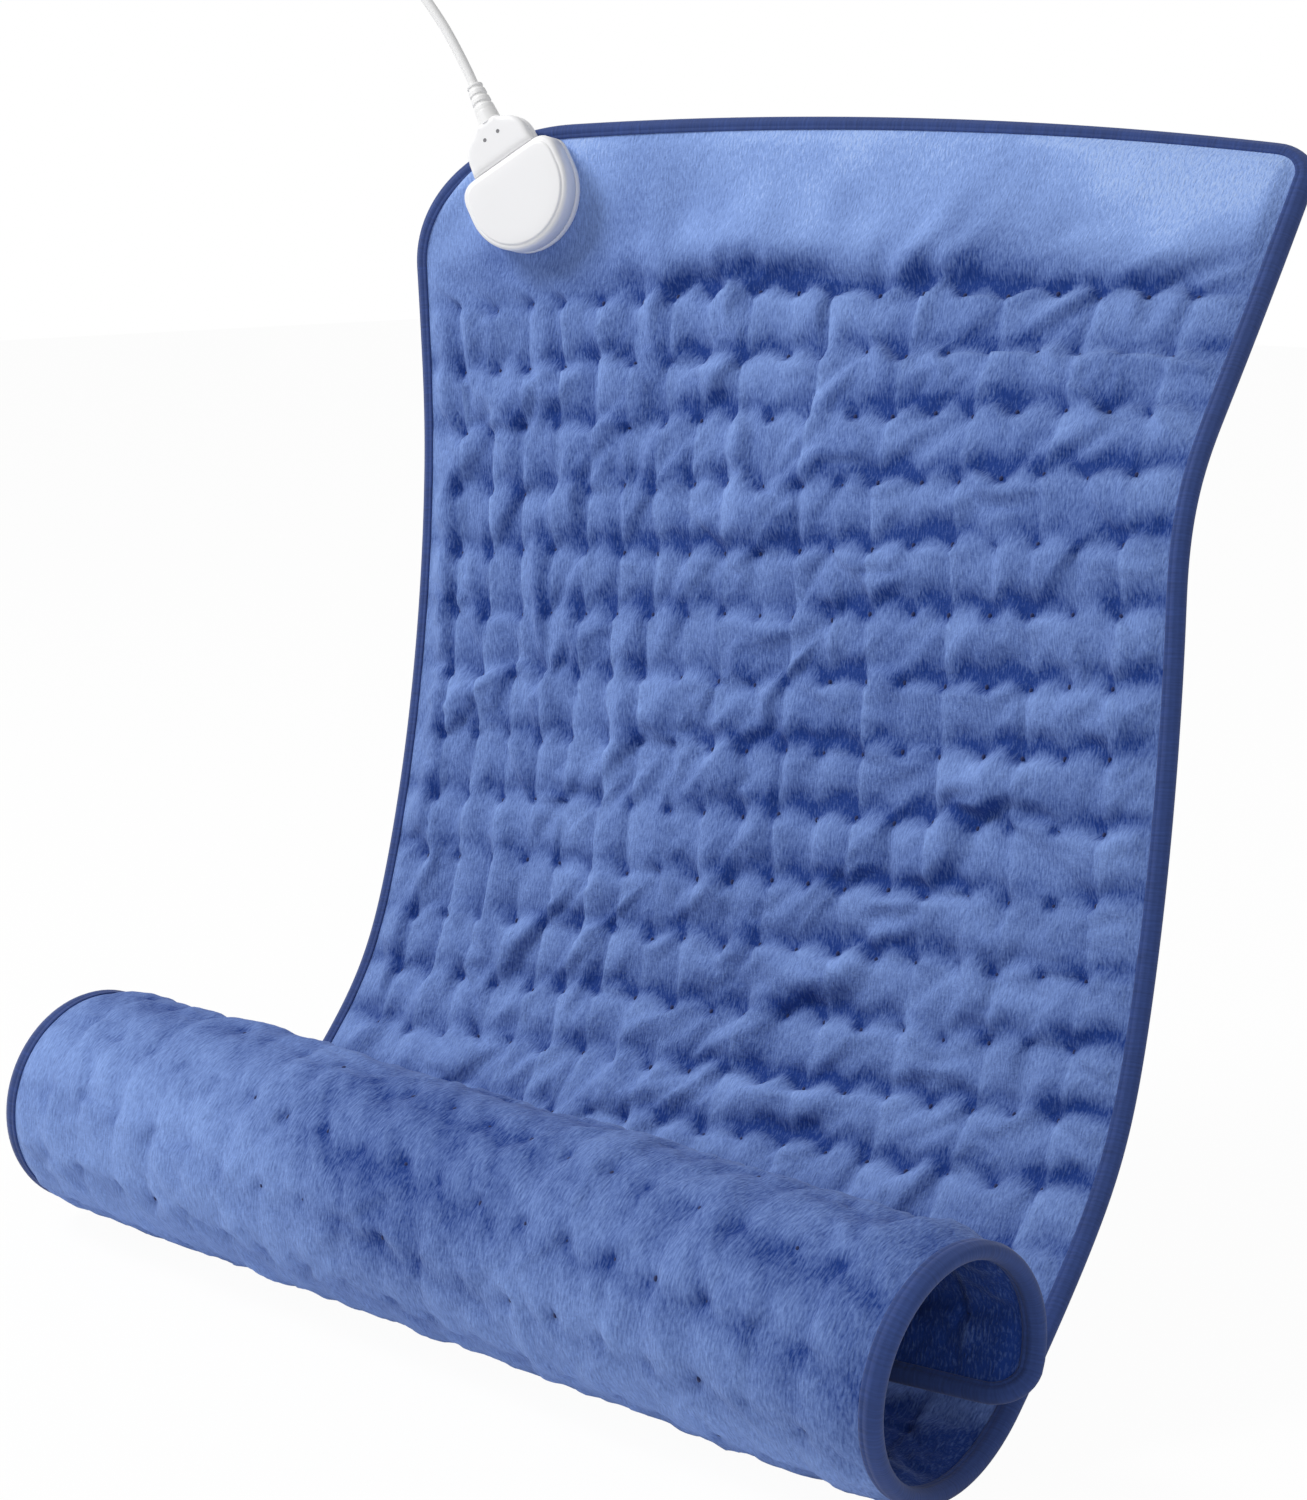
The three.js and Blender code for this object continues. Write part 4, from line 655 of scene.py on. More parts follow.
def tube_piece(name, path, radius):
    """Curve of one open spline with a round section that follows a path in metres."""
    curve = bpy.data.curves.new(name, "CURVE")
    curve.dimensions = "3D"
    curve.bevel_depth = radius
    curve.bevel_resolution = 5
    curve.use_fill_caps = True
    curve.twist_mode = "MINIMUM"
    spline = curve.splines.new("POLY")
    spline.points.add(len(path) - 1)
    spline.points.foreach_set("co", np.hstack([path, np.ones((len(path), 1))]).ravel())
    spline.use_smooth = True
    return linked(name, curve)


def dock_frame():
    """Frame of the connector: x across the plug, y out along it, z out of the pad; columns and centre."""
    centre = pad_point(DOCK_ACROSS, DOCK_ALONG, BAND) / MM
    down = pad_point(DOCK_ACROSS, DOCK_ALONG + 5, BAND) / MM - centre
    along = pad_point(DOCK_ACROSS + 5, DOCK_ALONG, BAND) / MM - centre
    down = down / np.linalg.norm(down)
    along = along / np.linalg.norm(along)
    z = np.cross(down, along)
    z = z / np.linalg.norm(z)
    up = -down
    y = up * math.cos(DOCK_TURN) + np.cross(z, up) * math.sin(DOCK_TURN)
    return np.column_stack([np.cross(y, z), y, z]), centre


DOCK_AXES, DOCK_CENTRE = dock_frame()


def dock_point(local):
    """Points of the connector's own frame, in millimetres, as points of the shared frame in millimetres."""
    return np.asarray(local, float) @ DOCK_AXES.T + DOCK_CENTRE


class Flow:
    """A shader socket that takes part in arithmetic: each sign adds one Math node to the same tree."""

    def __init__(self, tree, socket=None):
        self.tree = tree
        self.socket = socket

    def node(self, kind, settings=None, sockets=None, output=0):
        """Adds any node, sets its settings and its sockets, and returns one of its outputs."""
        made = self.tree.nodes.new(kind)
        for key, value in (settings or {}).items():
            setattr(made, key, value)
        for key, value in (sockets or {}).items():
            if isinstance(value, Flow):
                self.tree.links.new(value.socket, made.inputs[key])
            else:
                made.inputs[key].default_value = value
        return Flow(self.tree, made.outputs[output] if len(made.outputs) else None)

    def math(self, operation, first, second):
        return self.node("ShaderNodeMath", {"operation": operation}, {0: first, 1: second})

    def __add__(self, other):
        return self.math("ADD", self, other)

    def __sub__(self, other):
        return self.math("SUBTRACT", self, other)

    def __mul__(self, other):
        return self.math("MULTIPLY", self, other)

    def clamp(self):
        return self.node("ShaderNodeClamp", None, {0: self})

    def mix(self, first, second):
        """Colour between two colours, with this socket as the factor."""
        sockets = {0: self, 6: first, 7: second}
        return self.node("ShaderNodeMix", {"data_type": "RGBA"}, sockets, 2)

    def noise(self, scale, detail, rough=0.5):
        """Noise with this socket as its place."""
        sockets = {"Vector": self, "Scale": scale, "Detail": detail, "Roughness": rough}
        return self.node("ShaderNodeTexNoise", None, sockets)

    def bump(self, strength, distance):
        """Normal that is bumped by this socket as a height."""
        sockets = {"Strength": strength, "Distance": distance, "Height": self}
        return self.node("ShaderNodeBump", None, sockets)


def new_material(name):
    """Empty material and the wrapper for its tree."""
    material = bpy.data.materials.new(name)
    material.use_nodes = True
    material.node_tree.nodes.clear()
    return material, Flow(material.node_tree)


def finish_material(flow, sockets):
    """Principled shader with the given sockets, joined to the material's output."""
    shader = flow.node("ShaderNodeBsdfPrincipled", None, sockets)
    flow.node("ShaderNodeOutputMaterial", None, {"Surface": shader})


def colour_of(value, factor=1.0):
    """Four numbers for a colour socket, made lighter or darker by a factor."""
    return tuple(min(1.0, factor * part) for part in value) + (1.0,)


def streaks(flow, scale, turn, detail, rough=0.5):
    """Noise that is stretched along the weave map, and that map."""
    weave = flow.node("ShaderNodeUVMap", {"uv_map": "weave"})
    sockets = {"Vector": weave, "Rotation": (0, 0, turn), "Scale": scale}
    return flow.node("ShaderNodeMapping", None, sockets).noise(1.0, detail, rough), weave


def plush_material(look):
    """Short-pile cloth: nap and painted light and shade from the mesh, a painted highlight, streaks that
    follow the weave map, and a soft sheen.
    """
    material, flow = new_material("plush")
    streak, weave = streaks(flow, (1250, 280, 1), 0.45, 2.0, 0.6)
    fine = weave.noise(900.0, 1.0)
    # Tone from the mesh: random nap patches together with painted light and shade.
    nap_and_shade = flow.node("ShaderNodeAttribute", {"attribute_name": "nap_and_shade"}, None, 2)
    tone = nap_and_shade + (streak - 0.5) * 0.85 + (fine - 0.5) * 0.16
    colour = tone.clamp().mix(colour_of(look.dark_colour), colour_of(look.light_colour))
    # Painted highlight: where the tone runs past 0.88 the colour turns towards the pale highlight colour.
    colour = ((tone - 0.88) * 1.6).clamp().mix(colour, colour_of(look.highlight_colour))
    bump = (streak * 0.7 + fine * 0.5).bump(0.6, 0.0012)
    finish_material(flow, {
        "Base Color": colour, "Roughness": 0.92, "Normal": bump, "Sheen Weight": 0.25,
        "Sheen Roughness": 0.45, "Sheen Tint": (0.55, 0.68, 1.0, 1.0), "Specular IOR Level": 0.15,
    })
    return material


def finish_cloth(flow, colour, bump):
    """Cloth finish with a little sheen."""
    finish_material(flow, {
        "Base Color": colour, "Roughness": 0.8, "Normal": bump, "Sheen Weight": 0.15,
        "Specular IOR Level": 0.25,
    })


def cloth_material(name, colour, scale):
    """Thread or felt: fine grain in the colour and a matching bump."""
    material, flow = new_material(name)
    place = flow.node("ShaderNodeTexCoord", None, None, 3)
    grain = place.noise(scale, 3.0)
    soft = place.noise(scale / 18, 2.0)
    tone = (grain * 0.7 + soft * 0.5 - 0.1).clamp()
    finish_cloth(flow, tone.mix(colour_of(colour, 0.72), colour_of(colour, 1.2)), grain.bump(0.4, 0.0003))
    return material


def tape_material(look):
    """Ribbed tape: fine ribs across its run, from streaks that follow the weave map."""
    material, flow = new_material("binding_cloth")
    rib, weave = streaks(flow, (950, 90, 1), 0.0, 1.0)
    tone = (rib * 0.9 + weave.noise(60.0, 2.0) * 0.5 - 0.2).clamp()
    shades = colour_of(look.tape_colour, 0.6), colour_of(look.tape_colour, 1.35)
    finish_cloth(flow, tone.mix(*shades), rib.bump(0.5, 0.0004))
    return material


def moulded(name):
    """Moulded plastic or metal: faint clouding in colour and roughness, and a fine surface grain.

    A finish that is already there is used again."""
    if name in MADE:
        return MADE[name]
    colour, roughness, metallic, coat = FINISHES[name]
    material, flow = new_material(name)
    place = flow.node("ShaderNodeTexCoord", None, None, 3)
    cloud = place.noise(60.0, 2.0)
    finish_material(flow, {
        "Base Color": cloud.mix(colour_of(colour, 0.95), colour_of(colour, 1.03)),
        "Roughness": (cloud - 0.5) * 0.12 + roughness, "Metallic": metallic, "Coat Weight": coat,
        "Normal": place.noise(1800.0, 1.0).bump(0.08, 0.0001),
    })
    MADE[name] = material
    return material


def dress(piece, material, body):
    """Gives a piece its material and the body that it rides."""
    piece.data.materials.clear()
    piece.data.materials.append(material)
    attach(piece, body)


class QuiltSettings(bpy.types.PropertyGroup):
    """Driving values of the quilted pad."""

    spacing: bpy.props.FloatProperty(
        name="Spacing", description="Distance between points of the quilt",
        default=0.0021, unit="LENGTH")
    cloth_spacing: bpy.props.FloatProperty(
        name="Cloth spacing", description="Distance between points of the settling cloth",
        default=0.0036, unit="LENGTH")
    slack_across: bpy.props.FloatProperty(
        name="Slack across", description="Extra width of the cloth between its tufts",
        default=0.055, subtype="FACTOR")
    slack_along: bpy.props.FloatProperty(
        name="Slack along", description="Extra length of the cloth between its tufts",
        default=0.045, subtype="FACTOR")
    stiffness: bpy.props.FloatProperty(
        name="Bending", description="Resistance of the cloth to bending", default=0.02)
    # The cloth's tone runs from the dark colour to the light colour; it carries random patches of pile and
    # also painted light and shade.
    dark_colour: bpy.props.FloatVectorProperty(
        name="Dark nap", description="Colour of pressed pile",
        default=(0.011, 0.043, 0.235), subtype="COLOR")
    light_colour: bpy.props.FloatVectorProperty(
        name="Light nap", description="Colour of raised pile",
        default=(0.315, 0.475, 0.920), subtype="COLOR")
    # Painted highlight: the colour that the cloth turns to where its tone runs past the light end, mostly on
    # the top band.
    highlight_colour: bpy.props.FloatVectorProperty(
        name="Pale nap", description="Colour of pile that is brushed flat",
        default=(0.560, 0.700, 0.960), subtype="COLOR")
    fill: bpy.props.FloatProperty(
        name="Fill", description="How full the padding is, from 0 to 1", default=0.35, subtype="FACTOR")
    tape_colour: bpy.props.FloatVectorProperty(
        name="Binding", description="Colour of the edge binding",
        default=(0.030, 0.062, 0.220), subtype="COLOR")
    tape_width: bpy.props.FloatProperty(
        name="Binding width", description="Width of the binding on each side",
        default=0.0054, unit="LENGTH")


class CordSettings(bpy.types.PropertyGroup):
    """Driving values of the cords."""

    diameter: bpy.props.FloatProperty(
        name="Diameter", description="Thickness of the cords", default=0.0046, unit="LENGTH")


class StageSettings(bpy.types.PropertyGroup):
    """Driving values of the camera and lights."""

    place: bpy.props.FloatVectorProperty(
        name="Camera", description="Place of the camera",
        default=(0.8538, -1.0727, -0.0198), subtype="TRANSLATION")
    azimuth: bpy.props.FloatProperty(
        name="Azimuth", description="Turn of the view to the left of straight ahead",
        default=math.radians(41.85), subtype="ANGLE")
    elevation: bpy.props.FloatProperty(
        name="Elevation", description="Downward tilt of the view",
        default=math.radians(11.05), subtype="ANGLE")
    lens: bpy.props.FloatProperty(name="Lens", description="Focal length in millimetres", default=71.83)
    sky: bpy.props.FloatProperty(name="Sky", description="Strength of the even light", default=0.36)
    key: bpy.props.FloatProperty(name="Key", description="Power of the key lamp in watts", default=44.0)
    side: bpy.props.FloatProperty(name="Side", description="Power of the side lamp in watts", default=6.0)


def look_matrix(place, target):
    """Placement of a camera or lamp that looks from one point to another with its top up."""
    turn = (Vector(target) - Vector(place)).to_track_quat("-Z", "Y")
    return Matrix.LocRotScale(Vector(place), turn, None)


class HEATPAD_OT_stage(bpy.types.Operator):
    """Camera, lamps, white surroundings and the floor"""

    bl_idname = "heatpad.stage"
    bl_label = "Build stage"

    def execute(self, context):
        settings = context.scene.heatpad_stage
        camera = linked("camera", bpy.data.cameras.new("camera"))
        camera.data.lens = settings.lens
        camera.data.sensor_width = 36.0
        camera.data.clip_start = 0.05
        camera.data.clip_end = 60.0
        flat = math.cos(settings.elevation)
        ahead = Vector((-math.sin(settings.azimuth) * flat, math.cos(settings.azimuth) * flat,
                        -math.sin(settings.elevation)))
        camera.matrix_world = look_matrix(settings.place, Vector(settings.place) + ahead)
        context.scene.camera = camera
        for name, power, size, place in (
            ("key_lamp", settings.key, 0.8, (-1.4, -1.3, 1.6)),
            ("side_lamp", settings.side, 1.6, (1.7, -1.3, 0.4)),
        ):
            lamp = bpy.data.lights.new(name, "AREA")
            lamp.energy = power
            lamp.size = size
            linked(name, lamp).matrix_world = look_matrix(place, LAMP_TARGET)
        world = bpy.data.worlds.new("surroundings")
        world.use_nodes = True
        world.node_tree.nodes.clear()
        context.scene.world = world
        flow = Flow(world.node_tree)
        seen = flow.node("ShaderNodeLightPath")
        glossy = flow.node("ShaderNodeLightPath", None, None, 3)
        factor = flow.math("MAXIMUM", seen, glossy)
        even = flow.node("ShaderNodeBackground", None, {"Color": (1, 1, 1, 1), "Strength": settings.sky})
        white = flow.node("ShaderNodeBackground", None, {"Color": (1, 1, 1, 1), "Strength": 1.0})
        both = flow.node("ShaderNodeMixShader", None, {0: factor, 1: even, 2: white})
        flow.node("ShaderNodeOutputWorld", None, {"Surface": both})
        corners = np.array([[-1, -1, 0], [1, -1, 0], [1, 1, 0], [-1, 1, 0]]) * FLOOR_HALF
        corners[:, 2] = FLOOR * MM - FLOOR_DROP
        floor = mesh_piece("floor", corners, np.array([[0, 1, 2, 3]]))
        material, flow = new_material("floor_white")
        seen = flow.node("ShaderNodeLightPath")
        matt = flow.node("ShaderNodeBsdfDiffuse", None, {"Color": (0.95, 0.95, 0.95, 1)})
        glow = flow.node("ShaderNodeEmission", None, {"Color": (1, 1, 1, 1), "Strength": 1.0})
        both = flow.node("ShaderNodeMixShader", None, {0: seen * FLOOR_GLOW, 1: matt, 2: glow})
        flow.node("ShaderNodeOutputMaterial", None, {"Surface": both})
        floor.data.materials.append(material)
        context.scene.view_settings.view_transform = "Standard"
        return {"FINISHED"}


class HEATPAD_OT_cords(bpy.types.Operator):
    """Lead from the plug to the controller, and the coiled mains cord"""

    bl_idname = "heatpad.cords"
    bl_label = "Build cords"

    def execute(self, context):
        thick = context.scene.heatpad_cord.diameter
        inside = dock_point([
            (0, along, TONGUE_MIDDLE) for along in (LEAD_INSIDE, RELIEF_TIP, RELIEF_TIP + LEAD_STRAIGHT)])
        lead_path = catmull_rom(np.vstack([inside, on_floor(LEAD_ROUTE)]), 8) * MM
        lead = tube_piece("lead", lead_path, thick / 2)
        dress(lead, moulded("white_cord"), "lead")
        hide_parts("lead_cord")
        plug_end = dock_point((0, PLUG_END, TONGUE_MIDDLE)) * MM
        last = 2 * COIL_TURNS + 0.5
        turn = np.linspace(0, last, int(30 * last) + 1)
        middle = np.clip((turn - COIL_TURNS) / 0.5, 0, 1)
        rings = np.maximum(COIL_TURNS - turn, 0) + np.maximum(turn - COIL_TURNS - 0.5, 0)
        radius = COIL_INNER - COIL_DIP * np.sin(np.pi * middle) + COIL_PITCH * rings
        angle = np.pi - turn * 2 * np.pi
        coil = on_floor(np.column_stack([
            COIL_CENTRE[0] + radius * np.cos(angle), COIL_CENTRE[1] + radius * np.sin(angle),
            COIL_BOTTOM + COIL_PITCH * smooth(middle),
        ]))
        start = catmull_rom(on_floor(MAINS_START), 6)
        end = catmull_rom(on_floor(MAINS_FINISH), 6)
        mains_path = np.vstack([start[:-1], coil, end[1:]]) * MM
        mains = tube_piece("mains_cord", mains_path, thick / 2)
        dress(mains, moulded("white_cord"), "lead")
        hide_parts("mains_cord_start", "mains_cord_coil", "mains_cord_end")
        return {"FINISHED"}


class HEATPAD_OT_quilt(bpy.types.Operator):
    """Quilted pad, its stitches, and the felt and wire inside it"""

    bl_idname = "heatpad.quilt"
    bl_label = "Build quilt"

    def execute(self, context):
        look = context.scene.heatpad_quilt
        rows = int(round(PAD_LENGTH * MM / look.spacing)) + 1
        columns = int(round(2 * HALF_PAD * MM / look.spacing)) + 1
        s = np.linspace(0, PAD_LENGTH, rows)[:, None]
        f = np.linspace(0, 1, columns)[None, :]
        u = left_limit(s) + (right_limit(s) - left_limit(s)) * f
        s = s + np.zeros_like(u)
        shift_u, shift_s, puff = settled_cloth(look)
        along = spline_weights(np.linspace(0, 1, rows), puff.shape[0])
        across = spline_weights(f.ravel(), puff.shape[1])
        points = []
        naps_and_shades = []
        for side in (1, -1):
            settled, move_u, move_s = (
                along @ values[:, ::side] @ across.T for values in (puff, shift_u, shift_s))
            share = 1.0 if side > 0 else 0.5
            height = cover_height(u, s, side, settled)
            place = pad_point(u + side * share * move_u, s + share * move_s, side * height)
            points.append(place.reshape(-1, 3))
            naps_and_shades.append(cover_nap_and_shade(u, s, side, height).ravel())
        weave = np.column_stack([u.ravel(), s.ravel()]) * MM
        quilt = mesh_piece("pad_quilt", np.vstack(points), closed_sheet(rows, columns), 180,
                           np.vstack([weave, weave + 1.0]), np.concatenate(naps_and_shades))
        dress(quilt, plush_material(look), "pad")
        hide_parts("front_cover", "back_cover")
        self.stitches()
        self.inside()
        return {"FINISHED"}

    def stitches(self):
        """Small thread knots: a flattened dome on each tuft, repeated over both sides as one array."""
        ring = np.linspace(0, 2 * np.pi, 8, endpoint=False)
        polar = np.array([0.02, 0.5, 1.0, 1.6])[:, None]
        dome_u = (KNOT_SIZE[0] * np.sin(polar) * np.cos(ring)[None, :]).ravel()
        dome_s = (KNOT_SIZE[1] * np.sin(polar) * np.sin(ring)[None, :]).ravel()
        dome_h = (KNOT_SIZE[2] * np.cos(polar) + 0 * ring[None, :]).ravel()
        points = []
        faces = []
        block = grid_faces(len(polar), len(ring), wrap=True)
        for side in (1, -1):
            base = cover_height(TUFT_U, TUFT_S, side, np.full(TUFT_U.shape, EDGE))
            u = TUFT_U.ravel()[:, None] + dome_u[None, :]
            s = TUFT_S.ravel()[:, None] + dome_s[None, :]
            h = base.ravel()[:, None] + KNOT_RAISE + dome_h[None, :]
            points.append(pad_point(u, s, side * h).reshape(-1, 3))
            shift = (np.arange(u.shape[0]) * len(dome_u))[:, None, None] + (0 if side > 0 else u.size)
            turned = block if side < 0 else block[:, ::-1]
            faces.append((turned[None, :, :] + shift).reshape(-1, 4))
        knots = mesh_piece("tuft_stitches", np.vstack(points), np.vstack(faces), 180)
        dress(knots, cloth_material("thread", (0.016, 0.024, 0.10), 1500.0), "pad")

    def inside(self):
        """Felt as two parallel grids joined round their rim, and the heating wire as a thin tube on it."""
        s = np.linspace(FELT_TOP, PAD_LENGTH - FELT_END, FELT_GRID[0])[:, None]
        u = np.linspace(-FELT_HALF, FELT_HALF, FELT_GRID[1])[None, :]
        u, s = np.broadcast_arrays(np.maximum(u, left_limit(s) + FELT_TOP), s)
        points = np.vstack([pad_point(u, s, h).reshape(-1, 3) for h in FELT_LEVELS])
        felt = mesh_piece("felt_layer", points, closed_sheet(*FELT_GRID), 60)
        dress(felt, cloth_material("felt", (0.66, 0.62, 0.54), 900.0), "pad")
        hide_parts("element_felt")
        run = np.linspace(*WIRE_RUN, 220)
        turns = [
            np.column_stack([np.full(len(run), line), run if k % 2 == 0 else run[::-1]])
            for k, line in enumerate(WIRE_LINES)]
        back = np.column_stack([np.linspace(WIRE_LINES[-1], WIRE_BACK, 60), np.full(60, WIRE_TOP)])
        route = np.vstack([[[WIRE_LINES[0], WIRE_TOP]], *turns, back])
        wire = tube_piece("element_wire", pad_point(*route.T, WIRE_LEVEL), WIRE_RADIUS * MM)
        dress(wire, moulded("wire_sleeve"), "pad")
        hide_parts("heating_wire")


def quarter(across, along, count):
    """Inner points of a quarter of an ellipse, as distances from the two sides that it joins."""
    turn = np.linspace(0, np.pi / 2, count)[1:-1]
    return np.column_stack([across * (1 - np.cos(turn)), along * (1 - np.sin(turn))])


def pad_edge(step):
    """Points round the pad's outline: four corners with straight runs between them."""
    right = np.arange(PLAIN_CORNER, PAD_LENGTH - PLAIN_CORNER + 1, step)
    left = np.arange(CORNER_ALONG, PAD_LENGTH - PLAIN_CORNER + 1, step)[::-1]
    top = np.arange(-HALF_PAD + CORNER_ACROSS, HALF_PAD - PLAIN_CORNER + 1, step)
    low = np.arange(-HALF_PAD + PLAIN_CORNER, HALF_PAD - PLAIN_CORNER + 1, step)[::-1]
    small = quarter(PLAIN_CORNER, PLAIN_CORNER, 12)
    return np.vstack([
        quarter(CORNER_ACROSS, CORNER_ALONG, 40) + (-HALF_PAD, 0),
        np.column_stack([top, 0 * top]),
        small[::-1] * (-1, 1) + (HALF_PAD, 0),
        np.column_stack([0 * right + HALF_PAD, right]),
        small * (-1, -1) + (HALF_PAD, PAD_LENGTH),
        np.column_stack([low, 0 * low + PAD_LENGTH]),
        small[::-1] * (1, -1) + (-HALF_PAD, PAD_LENGTH),
        np.column_stack([0 * left - HALF_PAD, left]),
    ])


class HEATPAD_OT_binding(bpy.types.Operator):
    """Tape folded over the pad's edge"""

    bl_idname = "heatpad.binding"
    bl_label = "Build binding"

    def execute(self, context):
        look = context.scene.heatpad_quilt
        edge = pad_edge(TAPE_STEP)
        ahead = np.roll(edge, -2, axis=0) - np.roll(edge, 2, axis=0)
        ahead = ahead / np.linalg.norm(ahead, axis=1, keepdims=True)
        inward = np.column_stack([-ahead[:, 1], ahead[:, 0]])
        lip = look.tape_width / MM
        half = np.array([
            (lip - 0.4, 2.0), (lip, 2.5), (lip + 0.1, 2.9), (lip - 0.3, 3.2), (lip - 1.1, 3.3),
            (lip - 1.5, 3.1), (lip - 1.8, 3.1), (lip - 2.2, 3.35), (lip - 3.8, 3.5), (1.4, 3.3),
            (0.0, 2.8), (-0.9, 2.0), (-1.4, 1.0),
        ])
        profile = np.vstack([half, [(-1.5, 0.0)], half[::-1] * np.array([1, -1]), [(lip - 6.0, 0.0)]])
        u = edge[:, None, 0] + inward[:, None, 0] * profile[None, :, 0]
        s = edge[:, None, 1] + inward[:, None, 1] * profile[None, :, 0]
        points = pad_point(u, s, profile[None, :, 1] + 0 * u).reshape(-1, 3)
        rings = len(edge)
        count = len(profile)
        faces = grid_faces(rings + 1, count, wrap=True) % (rings * count)
        run = np.concatenate([[0.0], np.cumsum(np.linalg.norm(np.diff(edge, axis=0), axis=1))])
        weave = np.stack([run[:, None] + 0 * u, profile[None, :, 0] + 0 * u], axis=-1).reshape(-1, 2) * MM
        tape = mesh_piece("edge_tape", points, faces, 180, weave)
        dress(tape, tape_material(look), "pad")
        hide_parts("edge_binding")
        return {"FINISHED"}


def bend(start, control, end, count):
    """Points on a quadratic curve from a start to an end, pulled towards a control point."""
    t = np.linspace(0, 1, count)[:, None]
    return (1 - t) ** 2 * np.asarray(start) + 2 * t * (1 - t) * np.asarray(control) + t * t * np.asarray(end)


def dock_outline(inset):
    """Outline of the dock: a half disc below, straight sides and two round corners beside a flat mouth."""
    half = DOCK_HALF - inset
    mouth = MOUTH_HALF - 0.5 * inset
    top = DOCK_MOUTH - inset
    left = bend((-mouth, top), (-half, top), (-half, top - DOCK_CORNER), 16)
    a = np.linspace(np.pi, 2 * np.pi, 64)
    arc = np.column_stack([half * np.cos(a), -1 + half * np.sin(a)])
    right = left[::-1] * np.array([-1, 1])
    flat = np.column_stack([np.linspace(mouth, -mouth, 14)[1:-1], np.full(12, top)])
    return np.vstack([left, arc, right, flat])


def plug_outline(inset):
    """Outline of the plug: short straight sides, then a dome that narrows to a neck; drawn in by an inset."""
    wide = PLUG_HALF - inset
    crown = PLUG_CROWN - 0.7 * inset
    neck = PLUG_NECK - 0.5 * inset
    low = PLUG_START + inset
    high = PLUG_END - 0.2 * inset
    first = np.column_stack([np.linspace(wide, wide - 0.5, 6), np.linspace(low, PLUG_SHOULDER - 2, 6)])
    second = bend((wide - 0.5, PLUG_SHOULDER - 2), (wide - 1.5, PLUG_SHOULDER + 6 - 0.7 * inset),
                  (crown, PLUG_END - 3 - 0.7 * inset), 18)
    third = bend((crown, PLUG_END - 3 - 0.7 * inset), (neck + 0.5, PLUG_END - 1 - 0.5 * inset),
                 (neck, high), 8)
    side = np.vstack([first, second[1:], third[1:]])
    across = np.column_stack([np.linspace(neck, -neck, 8)[1:-1], np.full(6, high)])
    base = np.column_stack([np.linspace(-wide, wide, 14)[1:-1], np.full(12, low)])
    return np.vstack([side, across, side[::-1] * np.array([-1, 1]), base])


def lofted(name, outline, profile, centre):
    """Closed loft in the connector's frame: a ring of the outline for each pair of inset and height.

    Rings that shrink to a point close both ends."""
    rings = []
    for inset, z in profile:
        flat = outline(inset)
        rings.append(np.column_stack([flat, np.full(len(flat), z)]))
    middle = np.array([*centre, 0.0])
    shares = (0.75, 0.45, 0.15, 0.001)
    first = [(rings[0] - middle) * (share, share, 1.0) + middle for share in shares]
    last = [(rings[-1] - middle) * (share, share, 1.0) + middle for share in shares]
    rings = first[::-1] + rings + last
    points = dock_point(np.vstack(rings)) * MM
    return mesh_piece(name, points, grid_faces(len(rings), len(rings[0]), wrap=True), 42)


def turned_piece(name, profile, sides, placed):
    """Surface of revolution round the y axis: each pair of radius and distance makes one ring."""
    a = np.linspace(0, 2 * np.pi, sides, endpoint=False)
    profile = np.asarray(profile, float)
    x = profile[:, :1] * np.cos(a)[None, :]
    z = profile[:, :1] * np.sin(a)[None, :]
    y = profile[:, 1:] + 0 * x
    points = placed(np.stack([x, y, z], axis=-1).reshape(-1, 3)) * MM
    faces = grid_faces(len(profile), sides, wrap=True, flip=True)
    return mesh_piece(name, points, faces, 42)


def ribbed_profile(start, length, root, tip, ribs, bore=2.35):
    """Closed profile of a strain relief: a taper with rounded ribs, and a bore for the cord."""
    y = np.linspace(0, 1, 12 * ribs + 1)
    wave = 0.5 - 0.5 * np.cos(2 * np.pi * ribs * y)
    radius = root + (tip - root) * y - 0.45 * smooth((wave - 0.45) / 0.4) * smooth((y - 0.3) / 0.1)
    outer = np.column_stack([radius, start + length * y])
    return np.vstack([[(bore, start)], [(root - 0.5, start)], outer[1:-1], [(tip - 0.4, start + length)],
                      [(bore, start + length)], [(bore, start)]])


